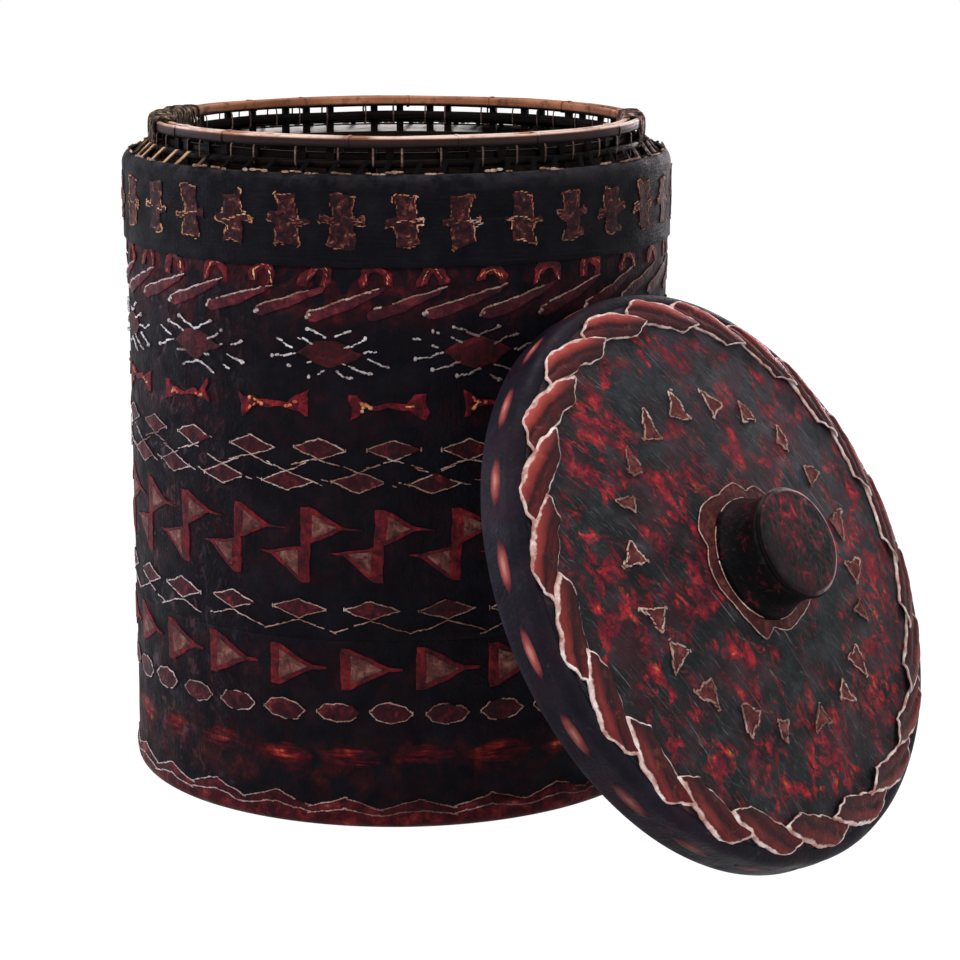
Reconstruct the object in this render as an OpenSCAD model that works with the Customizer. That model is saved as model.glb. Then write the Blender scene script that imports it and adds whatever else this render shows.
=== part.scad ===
// Lidded basket box: a thick coiled wall under a leather cover, an open cane collar and a domed lid.
// Millimetres and degrees. Origin on the floor under the box's own axis, +Z up, front towards -Y.

/* [Box] */
// Outside diameter of the covered wall
box_d = 267; // [240:1:290]
// Height of the ledge that carries the closed lid
ledge_h = 307; // [295:1:380]
// Width of the ledge, from the wall's face in to the collar
ledge_w = 13; // [12:0.5:16]
// Thickness of the base board
base_t = 7; // [6:0.5:10]
// Thickness of the inside lining sheet
liner_t = 1.5; // [1:0.1:2.5]
// Height of the ledge coil, the uppermost round of the wall
coil_h = 11.4; // [9:0.2:15]

/* [Cover] */
// Thickness of the leather covers
cover_t = 1.2; // [0.8:0.1:1.6]
// Thickness of the shoulder band, which stands proud of the cover
band_t = 1.4; // [0.8:0.1:2]
// Height of the shoulder band
band_h = 40.5; // [36:0.5:46]
// Height of the seam between the lower and the upper cover
seam_h = 91.5; // [88:0.5:94]
// Thickness of the zigzag foot band
foot_t = 0.9; // [0.6:0.1:1.4]
// Height of the foot band's points
foot_h = 15.5; // [12:0.5:18]
// Depth of the dips between the points
foot_dip = 5.5; // [3:0.5:7]
// Points round the foot band
foot_points = 24; // [16:1:32]
// Rounding of the foot's lower corner
foot_round = 5; // [3:0.5:6]
// Room between the foot band and the floor
foot_lift = 0.3; // [0.2:0.1:0.6]
// How far the shoulder band stops below the ledge
band_drop = 0.5; // [0.3:0.1:1]

/* [Patches] */
// Thickness of the sewn-on leather patches
patch_t = 0.5; // [0.3:0.1:0.8]
// Patches round the wall in the close-set rows
patch_count = 24; // [20:1:26]
// Stars round the wall
star_count = 12; // [10:1:14]
// Bows round the wall
bow_count = 16; // [12:1:18]
// Crosses round the shoulder band
cross_count = 31; // [26:1:34]
// Ovals round the wall
oval_count = 32; // [26:1:36]
// Height of a cross
cross_h = 23; // [18:0.5:26]
// Height of an arch, in the row of arches under the shoulder band
scallop_h = 7.6; // [6:0.2:8]
// Height of a slanted bar, from end to end
slant_h = 14.6; // [12:0.2:16]
// Upright thickness of a slanted bar
slant_t = 5; // [3:0.2:6]
// Height of a star
star_h = 25; // [20:0.5:28]
// Height of a bow
bow_h = 12; // [9:0.5:14]
// Height of a diamond
diamond_h = 9.5; // [8:0.5:12]
// Height of a pair of flags on one staff
pair_h = 35; // [30:0.5:38]
// Height of a single flag
flag_h = 19; // [14:0.5:22]
// Height of an oval
oval_h = 10; // [8:0.5:14]

/* [Collar] */
// Height of the collar's rim above the ledge, lashing included
collar_h = 17.4; // [16.6:0.2:18]
// Radial thickness of each cane hoop
hoop_t = 3.2; // [2.4:0.1:4]
// Height of the two rim hoops
rim_hoop_h = 5.4; // [4.6:0.1:5.8]
// Height of the two middle hoops
mid_hoop_h = 4; // [3:0.1:4.6]
// Open height between the rim hoops and the middle hoops
lattice_gap = 3.6; // [3:0.1:4]
// Cane stakes round the frame
stake_count = 44; // [36:1:52]
// Width of a stake
stake_w = 3.4; // [2.6:0.1:4]
// Thickness of a stake
stake_t = 1.8; // [1.2:0.1:2.4]
// Hoops hidden in the wall
wall_hoops = 5; // [3:1:7]
// Width of a lashing strip
lash_w = 2.4; // [1.8:0.1:3]
// Thickness of a lashing strip
lash_t = 0.8; // [0.6:0.1:1]

/* [Lid] */
// How far the lid's side stands out past the wall's face
lid_over = 3.1; // [2:0.1:5]
// Height of the lid's side, up to the dome's edge
side_h = 21.2; // [20.4:0.2:24]
// Rounding between the lid's side and its dome
side_round = 6; // [4.5:0.5:7]
// Rise of the dome from its edge to its crest
dome_rise = 14.7; // [12:0.1:20]
// Thickness of the stiff board under the dome cover
board_t = 2; // [1.5:0.1:2.4]
// Play between the lid's inside and the collar's lashings
lid_play = 0.7; // [0.5:0.1:1.2]
// Radial thickness of the hoop inside the lid
fit_hoop_t = 2.4; // [1.8:0.1:3]
// Height of the hoop inside the lid
fit_hoop_h = 7; // [5:0.2:9]
// How far the hoop inside the lid sits above the open edge
fit_hoop_z = 6; // [4:0.2:8]
// Lapped strips round the lid's border
border_count = 22; // [18:1:24]
// Length of a border strip
border_len = 42; // [38:0.5:46]
// Width of a border strip
strip_w = 9.5; // [8:0.5:11]
// Thickness of a border strip
strip_t = 1.1; // [0.8:0.1:1.4]
// Slant of a border strip, from its inner end out to its rounded outer end
strip_slant = 12; // [8:0.5:16]
// Triangles round the dome
dome_patches = 20; // [14:1:24]
// Spots round the lid's side
side_spots = 22; // [18:1:26]
// Width of a spot on the lid's side
spot_w = 25; // [18:0.5:28]
// Height of a spot on the lid's side
spot_h = 6.6; // [4:0.2:8]
// Drop from the lid's rounded edge to a spot's upper tip
spot_drop = 2.2; // [1:0.2:4]

/* [Knob] */
// Diameter of the knob at its top
knob_d = 51; // [44:1:58]
// Height of the knob above the dome's crest
knob_h = 27; // [24:0.5:34]
// Amount by which the knob narrows towards its foot, on the radius
knob_taper = 1.6; // [0.5:0.1:3]
// Width of the frill round the knob's foot
frill_w = 7.5; // [5:0.5:10]
// Points round the frill
frill_points = 14; // [10:1:20]
// Diameter of the peg that holds the knob
peg_d = 8; // [6:0.5:10]
// Diameter of the washer under the lid
washer_d = 34; // [26:1:44]
// Thickness of the washer under the lid
washer_t = 4; // [3:0.2:5]
// Diameter of the pin that locks the washer
pin_d = 3; // [2:0.1:3.6]
// Thickness of the frill
frill_t = 0.9; // [0.6:0.1:1.2]
// Height of the pale edging round the knob's top
knob_rim_t = 2; // [1.4:0.1:3]
// How far the pale edging stands out past the knob
knob_rim_out = 0.6; // [0.3:0.1:1]
// Thickness of the knob's top sheet
cap_t = 2.2; // [1.6:0.1:3]

/* [Lean] */
// Where the lid stands: leaning on the wall, or closed on the ledge
lid_place = "leaning"; // [leaning, closed]
// Bearing of the place where the lid touches the wall, from +X
lean_bearing = -43.9; // [-180:0.1:180]
// Turn of the lid's axis away from that bearing
lean_turn = 2.1; // [-6:0.1:6]
// Angle of the lid's axis above the floor
lean_tilt = 27.8; // [22:0.2:36]

/* [Clearances] */
// Gap between pieces that lie on each other
seat = 0.2; // [0.1:0.05:0.3]
// Gap under the sewn-on patches
sew_gap = 0.1; // [0.05:0.05:0.2]
// Gap left between the leaning lid and the nearest patch
lean_gap = 0.3; // [0.2:0.1:1]

/* [Hidden] */
$fn = 96;
// Facets of the large balls that shape the dome and the knob's top
fine = 720;

// Colours
leather_black = [0.10, 0.10, 0.12];
leather_red = [0.42, 0.08, 0.06];
cane = [0.55, 0.38, 0.24];
pale_cane = [0.80, 0.68, 0.55];
coil_straw = [0.50, 0.42, 0.28];
wood = [0.45, 0.32, 0.20];

// Wall layers, from the face inwards
box_r = box_d / 2;
core_out = box_r - cover_t - seat;
collar_r = box_r - ledge_w;
core_in = collar_r + seat;
stake_out = collar_r - hoop_t - seat;
stake_in = stake_out - stake_t;
inner_hoop_out = stake_in - seat;
inner_hoop_in = inner_hoop_out - hoop_t;
liner_in = inner_hoop_out - liner_t;
band_in = box_r + sew_gap;
band_r = band_in + band_t;

// Foot
foot_r = box_r + sew_gap + foot_t;
base_r = box_r - foot_round - 2.5 * cover_t;

// Ledge and collar heights
rim_h = ledge_h + collar_h;
rim_top = rim_h - lash_t;
rim_hoop_z = rim_top - rim_hoop_h;
mid_hoop_z = rim_hoop_z - lattice_gap - mid_hoop_h;
coil_top = ledge_h - lash_t - seat;
coil_z = coil_top - coil_h;
coil_round = (core_out - core_in) / 2;
band_top = ledge_h - band_drop;
band_z = band_top - band_h;
cover_top = coil_top - coil_round + 1;
low_hoop_z = coil_top - rim_hoop_h;
liner_top = coil_top - 1;
stake_pitch = 360 / stake_count;
tie_shift = (stake_w + lash_w) / 2 + seat;

// Rows of patches, shared out over the cover between the foot band and the shoulder band
field_h = band_z - foot_h;
function row_z(share) = foot_h + share * field_h;
cross_pitch = 2 * PI * box_r / cross_count;
pitch_w = 2 * PI * box_r / patch_count;

// Lid sizes, measured from its open edge
lid_r = box_r + lid_over;
lid_in = collar_r + lash_t + lid_play;
dome_r = lid_r - side_round - 2 * seat;
dome_crest = side_h + dome_rise;
dome_ball = (dome_r * dome_r + dome_rise * dome_rise) / (2 * dome_rise);
board_skin = cover_t + seat;
lining_skin = board_skin + board_t + seat;
lining_t = cover_t;
under_skin = lining_skin + lining_t;
core_lid_in = lid_in + fit_hoop_t + seat;
core_lid_out = lid_r - cover_t - seat;
core_lid_top = dome_z(dome_r) - lining_skin;
border_bow = border_len * border_len / dome_r / 8;
border_out = strip_w / 2 + (border_len - strip_w) / 2 * sin(strip_slant) + border_bow;
border_mid = dome_r - border_out;
border_lean = asin(border_mid / dome_ball);
border_pitch = 2 * PI * border_mid / border_count;
border_sag = border_len * border_len / dome_ball / 8;
border_rise = atan((strip_t + seat + border_sag) / border_pitch);
peg_r = peg_d / 2;
peg_hole = peg_r + seat;

// Knob sizes, measured from the lid's open edge
knob_r = knob_d / 2;
knob_foot = dome_crest + frill_t + 2 * seat;
knob_top = dome_crest + knob_h;
knob_side_top = knob_top - cap_t - knob_rim_t - seat;
washer_z = dome_z(washer_d / 2) - under_skin - seat - washer_t;
peg_top = knob_top - cap_t - knob_h / 3;
pin_z = washer_z - seat - pin_d / 2;

// Place of the leaning lid: its edge circle, seen from above, is an ellipse that touches the wall's circle
lean_back = -lean_turn;
edge_short = lid_r * sin(lean_tilt);
edge_top = 2 * lid_r * cos(lean_tilt);
rest_r = (edge_top > band_z - seat ? band_r : box_r) + sew_gap + patch_t + lean_gap;
edge_reach = sqrt(pow(edge_short * cos(lean_back), 2) + pow(lid_r * sin(lean_back), 2));
lean_x = rest_r * cos(lean_back) + edge_short * edge_short * cos(lean_back) / edge_reach;
lean_y = rest_r * sin(lean_back) + lid_r * lid_r * sin(lean_back) / edge_reach;
closed_z = band_top + seat;

// Height of the dome's face at a radius
function dome_z(r) = dome_crest - dome_ball + sqrt(dome_ball * dome_ball - r * r);

// Tube between two radii and two heights
module tube(r_in, r_out, z0, z1) {
    rotate_extrude() translate([r_in, z0]) square([r_out - r_in, z1 - z0]);
}

// Hoop of cane with one rounded face; side 1 rounds the outer face, side -1 the inner face
module hoop(r_in, r_out, z0, h, side) {
    flat = (r_out - r_in) * 0.6;
    bulge = (r_out - r_in) - flat;
    arc = (h * h / 4 + bulge * bulge) / (2 * bulge);
    rotate_extrude() intersection() {
        translate([r_in, z0]) square([r_out - r_in, h]);
        translate([side > 0 ? r_out - arc : r_in + arc, z0 + h / 2]) circle(arc);
    }
}

// Upright bar standing on a circle
module bars(count, r, w, t, z0, z1) {
    for (i = [0 : count - 1]) rotate(i * 360 / count)
        translate([r, -w / 2, z0]) cube([t, w, z1 - z0]);
}

// Patches of one outline, cut from a thin skin round an upright axis
module skin_row(count, r, z, reach, phase = 0) {
    intersection() {
        tube(r + sew_gap, r + sew_gap + patch_t, z - reach, z + reach);
        for (i = [0 : count - 1]) rotate((i + phase) * 360 / count)
            translate([r / 2, 0, z]) rotate([90, 0, 90]) linear_extrude(r) children();
    }
}

// Outlines of the patches, centred, x along the row and y up
module diamond(w, h) {
    polygon([[-w / 2, 0], [0, -h / 2], [w / 2, 0], [0, h / 2]]);
}

module flag(w, h) {
    polygon([[-w / 2, -h / 2], [w / 2, 0], [-w / 2, h / 2]]);
}

module bow(w, h) {
    polygon([[-w / 2, -h / 2], [0, -h / 8], [w / 2, -h / 2], [w / 2, h / 2], [0, h / 8], [-w / 2, h / 2]]);
}

module block_cross(w, h) {
    translate([-w * 0.32, -h / 2]) square([w * 0.64, h]);
    translate([-w / 2, -h * 0.1]) square([w, h * 0.24]);
}

module star(w, h) {
    hexagon(w * 0.42, h * 0.5);
    for (tip = [[0.5, 0.2], [0.26, 0.5], [-0.26, 0.5], [-0.5, 0.2]])
        let (x = tip.x * w, y = tip.y * h, side = [-y, x] * h * 0.05 / norm([x, y]))
            polygon([[x, y] + side, [x, y] - side, -[x, y] - side, -[x, y] + side]);
}

module slant(w, h, t) {
    polygon([[-w / 2, -h / 2], [w / 2, h / 2 - t], [w / 2, h / 2], [-w / 2, t - h / 2]]);
}

module arch(w, h) {
    intersection() {
        circle(d = w);
        translate([-w / 2, 0]) square([w, h]);
    }
}

module pair(w, h) {
    bar = w / 9;
    translate([-bar / 2, -h / 2]) square([bar, h]);
    translate([w / 4, h / 4]) flag(w / 2, h / 2);
    translate([-w / 4, -h / 4]) rotate(180) flag(w / 2, h / 2);
}

module hexagon(w, h) {
    polygon([[-w / 2, 0], [-w / 4, -h / 2], [w / 4, -h / 2], [w / 2, 0], [w / 4, h / 2], [-w / 4, h / 2]]);
}

// Rounded corner strip of the foot, drawn as a half section inside a given radius
module foot_section(r_out, z_low, corner, z_top) {
    r_low = base_r + seat;
    translate([r_low, z_low]) square([r_out - corner - r_low, z_top - z_low]);
    translate([r_low, z_low + corner]) square([r_out - r_low, z_top - z_low - corner]);
    intersection() {
        translate([r_out - corner, z_low + corner]) circle(corner);
        translate([r_out - corner, z_low]) square(corner);
    }
}

// Shell that follows the dome at a depth below its face
module dome_shell(depth, t, r_in, r_out) {
    rotate_extrude() intersection() {
        translate([r_in, 0]) square([r_out - r_in, dome_crest]);
        translate([0, dome_crest - dome_ball]) difference() {
            circle(dome_ball - depth, $fn = fine);
            circle(dome_ball - depth - t, $fn = fine);
        }
    }
}

// Strip of the border, flat, with a square inner end and a rounded outer end
module border_strip() {
    run = border_len / 2 - strip_w / 2;
    linear_extrude(strip_t) {
        translate([-strip_w / 2, -border_len / 2]) square([strip_w, border_len - strip_w / 2]);
        translate([0, run]) circle(strip_w / 2);
    }
}

// Moves lid pieces, drawn on their own open edge, to where the lid stands
module on_lid() {
    if (lid_place == "closed") translate([0, 0, closed_z]) children();
    else rotate(lean_bearing + lean_turn) translate([lean_x, lean_y, edge_top / 2])
        rotate([0, 90 - lean_tilt, 0]) children();
}

// Base and foot

module base_board() color(wood) cylinder(r = base_r, h = base_t);

module foot_hoop() color(cane) rotate_extrude()
    foot_section(foot_r - foot_t - seat, foot_lift + foot_t + seat, foot_round - foot_t - seat, base_t);

module foot_band() color(leather_red) difference() {
    rotate_extrude() difference() {
        foot_section(foot_r, foot_lift, foot_round, foot_h);
        translate([-seat, 0])
            foot_section(foot_r - foot_t + seat, foot_lift + foot_t, foot_round - foot_t, foot_h + 1);
    }
    notch_w = 2 * PI * foot_r / foot_points;
    for (i = [0 : foot_points - 1]) rotate((i + 0.7) * 360 / foot_points)
        translate([foot_r - 2 * foot_round, 0, foot_h]) rotate([90, 0, 90])
            linear_extrude(3 * foot_round)
                polygon([[-notch_w / 2.2, 1], [0, -foot_dip], [notch_w / 2.2, 1]]);
}

// Wall

module wall_core() color(coil_straw) tube(core_in, core_out, base_t + seat, coil_z - seat);

module wall_frame_hoops() color(cane) {
    step = (low_hoop_z - base_t) / (wall_hoops + 1);
    for (i = [1 : wall_hoops]) hoop(stake_out + seat, collar_r, base_t + i * step, rim_hoop_h, 1);
}

module frame_stakes() color(cane)
    bars(stake_count, stake_in, stake_w, stake_t, base_t + seat, rim_top - seat);

module liner() color(coil_straw) tube(liner_in, inner_hoop_out, base_t + seat, liner_top);

module lower_cover() color(leather_black) tube(core_out + seat, box_r, base_t + seat, seam_h - seat);

module upper_cover() color(leather_black) tube(core_out + seat, box_r, seam_h + seat, cover_top);

module shoulder_band() color(leather_black) tube(band_in, band_r, band_z, band_top);

module ledge_coil() color(coil_straw) rotate_extrude() {
    mid = (core_in + core_out) / 2;
    translate([core_in, coil_z]) square([core_out - core_in, coil_h - coil_round]);
    translate([mid, coil_top - coil_round]) circle(coil_round);
}

// Strips that lace the ledge coil to the collar's middle hoop
module ledge_lashing() color(pale_cane) {
    mid = (core_in + core_out) / 2;
    foot = [mid + coil_round * cos(36) + seat, coil_top - coil_round + coil_round * sin(36) + seat];
    head = [collar_r + seat, mid_hoop_z + mid_hoop_h / 2];
    for (i = [0 : stake_count - 1]) rotate(i * stake_pitch)
        translate([0, lash_w / 2, 0]) rotate([90, 0, 0]) linear_extrude(lash_w)
            polygon([foot, foot + [lash_t / 2, lash_t], head + [0, lash_t], head]);
}

// Collar

module collar_low_hoop() color(cane) hoop(stake_out + seat, collar_r, low_hoop_z, rim_hoop_h - seat, 1);

module collar_mid_outer() color(cane) hoop(stake_out + seat, collar_r, mid_hoop_z, mid_hoop_h, 1);

module collar_mid_inner() color(cane) hoop(inner_hoop_in, inner_hoop_out, mid_hoop_z, mid_hoop_h, -1);

module collar_rim_outer() color(cane) hoop(stake_out + seat, collar_r, rim_hoop_z, rim_hoop_h - seat, 1);

module collar_rim_inner() color(cane)
    hoop(inner_hoop_in, inner_hoop_out, rim_hoop_z, rim_hoop_h - seat, -1);

// Loops that bind the rim hoops and the middle hoops together, one beside each stake
module collar_ties() color(pale_cane) {
    low = mid_hoop_z - seat;
    wide = collar_r - inner_hoop_in + 2 * seat;
    tall = rim_top - low;
    for (i = [0 : stake_count - 1]) rotate(i * stake_pitch)
        translate([inner_hoop_in - seat, tie_shift + lash_w / 2, low]) rotate([90, 0, 0])
            linear_extrude(lash_w) difference() {
                translate([-lash_t, -lash_t]) square([wide + 2 * lash_t, tall + 2 * lash_t]);
                square([wide, tall]);
            }
}

// Sewn-on patches of the box, from the top row down

module cross_patches() color(leather_red)
    skin_row(cross_count, band_r, band_z + band_h * 0.52, cross_h, 0.36)
        block_cross(2 * PI * band_r / cross_count * 0.8, cross_h);

module scallop_patches() color(leather_red)
    skin_row(cross_count, box_r, row_z(0.9696), scallop_h, 0.86) arch(cross_pitch * 0.66, scallop_h);

module slant_patches() color(leather_red)
    skin_row(cross_count, box_r, row_z(0.939), slant_h, 0.36) slant(cross_pitch * 1.38, slant_h, slant_t);

module star_patches() color(leather_red)
    skin_row(star_count, box_r, row_z(0.836), star_h, 0.5) star(2 * PI * box_r / star_count * 0.82, star_h);

module bow_patches() color(leather_red)
    skin_row(bow_count, box_r, row_z(0.742), bow_h, 0.88) bow(2 * PI * box_r / bow_count * 0.72, bow_h);

module diamond_patches() color(leather_red) for (side = [0, 1])
    skin_row(patch_count, box_r, row_z(0.665 - 0.062 * side), diamond_h, side / 2)
        diamond(pitch_w * 0.74, diamond_h);

module pair_patches() color(leather_red)
    skin_row(patch_count, box_r, row_z(0.484), pair_h, 0.74) pair(pitch_w * 0.9, pair_h);

module low_diamond_patches() color(leather_red)
    skin_row(patch_count, box_r, row_z(0.363), diamond_h, 0.62) diamond(pitch_w * 0.8, diamond_h);

module triangle_patches() color(leather_red)
    skin_row(patch_count, box_r, row_z(0.251), flag_h, 0.49) flag(pitch_w * 0.8, flag_h);

module oval_patches() color(leather_red)
    skin_row(oval_count, box_r, row_z(0.166), oval_h, 0.84)
        hexagon(2 * PI * box_r / oval_count * 0.8, oval_h);

// Lid

module lid_board() color(wood) on_lid() dome_shell(board_skin, board_t, peg_hole, dome_r - seat);

module lid_lining() color(coil_straw) on_lid()
    dome_shell(lining_skin, lining_t, peg_hole, core_lid_in - seat);

module lid_rim_core() color(coil_straw) on_lid() rotate_extrude()
    polygon([[core_lid_in, core_lid_top / 3], [core_lid_in + core_lid_top / 3, lash_t + seat],
        [core_lid_out, lash_t + seat], [core_lid_out, side_h - side_round],
        [dome_r, core_lid_top - seat], [core_lid_in, core_lid_top - seat]]);

module lid_fit_hoop() color(cane) on_lid()
    hoop(lid_in, lid_in + fit_hoop_t, fit_hoop_z, fit_hoop_h, -1);

module lid_edge_ties() color(pale_cane) on_lid()
    bars(stake_count, core_lid_in + core_lid_top / 3 + seat, lash_w,
        core_lid_out - core_lid_in - core_lid_top / 3 - seat, seat / 2, lash_t);

module lid_side_cover() color(leather_black) on_lid() rotate_extrude() {
    corner_z = side_h - side_round;
    translate([lid_r - cover_t, 0]) square([cover_t, corner_z]);
    intersection() {
        translate([lid_r - side_round, corner_z]) difference() {
            circle(side_round);
            circle(side_round - cover_t);
        }
        translate([dome_r + seat, corner_z]) square(2 * side_round);
    }
}

module lid_cover() color(leather_black) on_lid() dome_shell(0, cover_t, peg_hole, dome_r);

// Each strip starts on top of the one before it and dips under the next
module lid_border() color(leather_red) on_lid()
    for (i = [0 : border_count - 1]) rotate(i * 360 / border_count)
        translate([border_mid, 0, dome_z(border_mid)]) rotate([0, border_lean, 0])
            translate([0, 0, seat + border_len / 2 * tan(border_rise)]) rotate([-border_rise, 0, 0])
                rotate(-strip_slant) border_strip();

module dome_triangles() color(leather_red) on_lid() {
    ring = dome_r * 0.6;
    size = 2 * PI * ring / dome_patches * 0.5;
    intersection() {
        dome_shell(-sew_gap - patch_t, patch_t, ring - size, ring + size);
        for (i = [0 : dome_patches - 1]) rotate(i * 360 / dome_patches)
            translate([ring, 0, 0]) linear_extrude(2 * dome_crest) rotate(180) flag(size, size);
    }
}

module side_spot_patches() color(leather_red) on_lid()
    skin_row(side_spots, lid_r, side_h - side_round - spot_drop - spot_h / 2, spot_h, 0.67)
        diamond(spot_w, spot_h);

// Knob

module knob_core() color(wood) on_lid() difference() {
    translate([0, 0, knob_foot])
        cylinder(r1 = knob_r - knob_taper - cover_t - seat, r2 = knob_r - cover_t - seat,
            h = knob_top - cap_t - seat - knob_foot);
    cylinder(r = peg_hole, h = peg_top);
}

module knob_cover() color(leather_black) on_lid() rotate_extrude()
    polygon([[knob_r - knob_taper - cover_t, knob_foot], [knob_r - knob_taper, knob_foot],
        [knob_r, knob_side_top], [knob_r - cover_t, knob_side_top]]);

module knob_rim() color(pale_cane) on_lid()
    hoop(knob_r - cover_t, knob_r + knob_rim_out, knob_side_top + seat, knob_rim_t, 1);

// Top sheet of the knob, rounded at its edge
module knob_cap() color(leather_red) on_lid() translate([0, 0, knob_top - cap_t + seat]) rotate_extrude() {
    square([knob_r - cap_t, cap_t - seat]);
    intersection() {
        translate([knob_r - cap_t, 0]) circle(cap_t - seat);
        square([knob_r, cap_t]);
    }
}

// Zigzag leather frill on the dome's crest, round the knob's foot
module knob_frill() color(leather_red) on_lid() translate([0, 0, dome_crest + seat]) {
    r_tip = knob_r - knob_taper + frill_w;
    r_dip = r_tip - frill_w * 0.6;
    linear_extrude(frill_t) difference() {
        polygon([for (i = [0 : 2 * frill_points - 1])
            let (a = i * 180 / frill_points, r = i % 2 == 0 ? r_tip : r_dip) [r * cos(a), r * sin(a)]]);
        circle(peg_hole);
    }
}

module knob_peg() color(wood) on_lid() difference() {
    translate([0, 0, pin_z - pin_d]) cylinder(r = peg_r, h = peg_top - seat - pin_z + pin_d);
    translate([-peg_d, 0, pin_z]) rotate([0, 90, 0]) cylinder(d = pin_d + seat, h = 2 * peg_d);
}

module knob_washer() color(wood) on_lid() tube(peg_hole, washer_d / 2, washer_z, washer_z + washer_t);

module knob_pin() color(wood) on_lid() translate([-washer_d / 4, 0, pin_z])
    rotate([0, 90, 0]) cylinder(d = pin_d, h = washer_d / 2);

base_board();
foot_hoop();
foot_band();
wall_core();
wall_frame_hoops();
frame_stakes();
liner();
lower_cover();
upper_cover();
shoulder_band();
ledge_coil();
ledge_lashing();
collar_low_hoop();
collar_mid_outer();
collar_mid_inner();
collar_rim_outer();
collar_rim_inner();
collar_ties();
cross_patches();
scallop_patches();
slant_patches();
star_patches();
bow_patches();
diamond_patches();
pair_patches();
low_diamond_patches();
triangle_patches();
oval_patches();
lid_board();
lid_lining();
lid_rim_core();
lid_fit_hoop();
lid_edge_ties();
lid_side_cover();
lid_cover();
lid_border();
dome_triangles();
side_spot_patches();
knob_core();
knob_cover();
knob_rim();
knob_cap();
knob_frill();
knob_peg();
knob_washer();
knob_pin();
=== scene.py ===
"""Lidded basket box: a leather-covered coiled wall, an open cane collar and a domed lid leaning on it."""

import math

import bmesh
import bpy
from mathutils import Matrix, Vector, noise


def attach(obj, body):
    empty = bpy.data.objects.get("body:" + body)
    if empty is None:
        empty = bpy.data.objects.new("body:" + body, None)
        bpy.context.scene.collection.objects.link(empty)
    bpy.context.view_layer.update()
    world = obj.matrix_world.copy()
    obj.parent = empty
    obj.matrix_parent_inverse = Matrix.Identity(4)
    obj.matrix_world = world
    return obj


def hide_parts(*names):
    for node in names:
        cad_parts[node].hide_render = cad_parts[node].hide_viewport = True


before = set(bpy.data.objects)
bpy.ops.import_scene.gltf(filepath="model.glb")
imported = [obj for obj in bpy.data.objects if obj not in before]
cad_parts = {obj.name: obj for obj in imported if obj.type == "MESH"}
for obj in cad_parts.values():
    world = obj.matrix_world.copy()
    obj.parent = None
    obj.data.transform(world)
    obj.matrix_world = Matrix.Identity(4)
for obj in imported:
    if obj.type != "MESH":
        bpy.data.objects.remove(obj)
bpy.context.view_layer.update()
scene = bpy.context.scene

MM = 0.001
TURN = 2 * math.pi

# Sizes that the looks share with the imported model, in metres
WALL_R = 133.5 * MM
WALL_IN = 132.3 * MM
COVER_LOW = 7.2 * MM
COVER_TOP = 301.3 * MM
SEAM = 91.5 * MM
BAND_R = 135.0 * MM
BAND_IN = 133.6 * MM
BAND_LOW = 266.0 * MM
BAND_BEND = 301.7 * MM
SHOULDER = 7.4 * MM
FOOT_R = 134.5 * MM
FOOT_IN = 125.7 * MM
FOOT_LIFT = 0.3 * MM
FOOT_TOP = 15.5 * MM
FOOT_DIP = 5.5 * MM
FOOT_ROUND = 5.0 * MM
FOOT_THICK = 0.9 * MM
FOOT_WAVES = 24
FOOT_TURN = 0.247
COLLAR_R = 120.5 * MM
RIM_TOP = 323.4 * MM
LID_R = 136.6 * MM
LID_SIDE = 21.2 * MM
LID_ROUND = 6.0 * MM
LID_THICK = 1.2 * MM
DOME_R = 130.2 * MM
DOME_CREST = 35.9 * MM
DOME_BALL = 583.9 * MM
PEG_R = 4.2 * MM
KNOB_R = 25.5 * MM
KNOB_LOW = 37.2 * MM
KNOB_EDGE = 58.4 * MM
KNOB_TOP = 62.9 * MM

# Place of the leaning lid: its own axis is +Z, its open edge is at zero; turns in degrees
LID_PLACE = Vector((137.053, -143.508, 120.834)) * MM
LID_BEARING = -41.8
LID_LEAN = 27.8
LID = (
    Matrix.Translation(LID_PLACE)
    @ Matrix.Rotation(math.radians(LID_BEARING), 4, "Z")
    @ Matrix.Rotation(math.radians(90 - LID_LEAN), 4, "Y")
)

# Rows round the box: height in millimetres, count, turn in steps of the row, and seed
CROSSES = (287, 31, 0.11, 11)
ARCHES = (260.7, 31, 0.61, 23)
SLANTS = (251.2, 31, 0.11, 31)
STARS = (226.5, 12, 0.517, 43)
BOWS = (202.2, 16, -0.13, 52)
DIAMONDS = (182, 24, -0.06, 67)
NEXT_DIAMONDS = (166.5, 24, 0.48, 71)
PAIRS = (137, 24, -0.26, 83)
LOW_DIAMONDS = (106.5, 24, -0.38, 97)
TRIANGLES = (78.5, 24, -0.42, 101)
OVALS = (57, 32, -0.15, 113)
FOOT_LINES = (FOOT_TOP / MM, FOOT_WAVES, FOOT_TURN, 61)
LEDGE_EDGE = (308.2, 64, 0.2, 127)
LACES = (306.4, 58, 0.5, 139)
COLLAR_TIES = (0, 44, 0.22, 131)
RIM_TIES = (0, 15, 0.4, 137)
STAKES = (0, 44, 0.0, 141)

# Rings on the lid: reach in millimetres, count, turn in steps of the ring, and seed
BORDER = (126.3, 22, 0.2, 151)
DOME_TRIANGLES = (78.1, 20, 0.27, 163)
FRILL_EDGE = (30.0, 1, 0.0, 181)
FRILL_FOOT = (30.0, 1, 0.0, 182)

# Soft red spots round the lid's side
SPOTS, SPOT_TURN, SPOT_SEED = 22, 0.17, 171
SPOT_LONG, SPOT_TALL, SPOT_Z = 28 * MM, 8.4 * MM, 9.7 * MM

# Stitches lie this far above the sheet under a row, in millimetres
WALL_STITCH_LIFT = 0.32
DOME_STITCH_LIFT = 0.6

# Steps round each turned piece
WALL_STEPS, HOOP_STEPS, COIL_STEPS = 420, 300, 900
LID_STEPS, KNOB_STEPS, CORD_STEPS = 360, 96, 120

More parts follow.
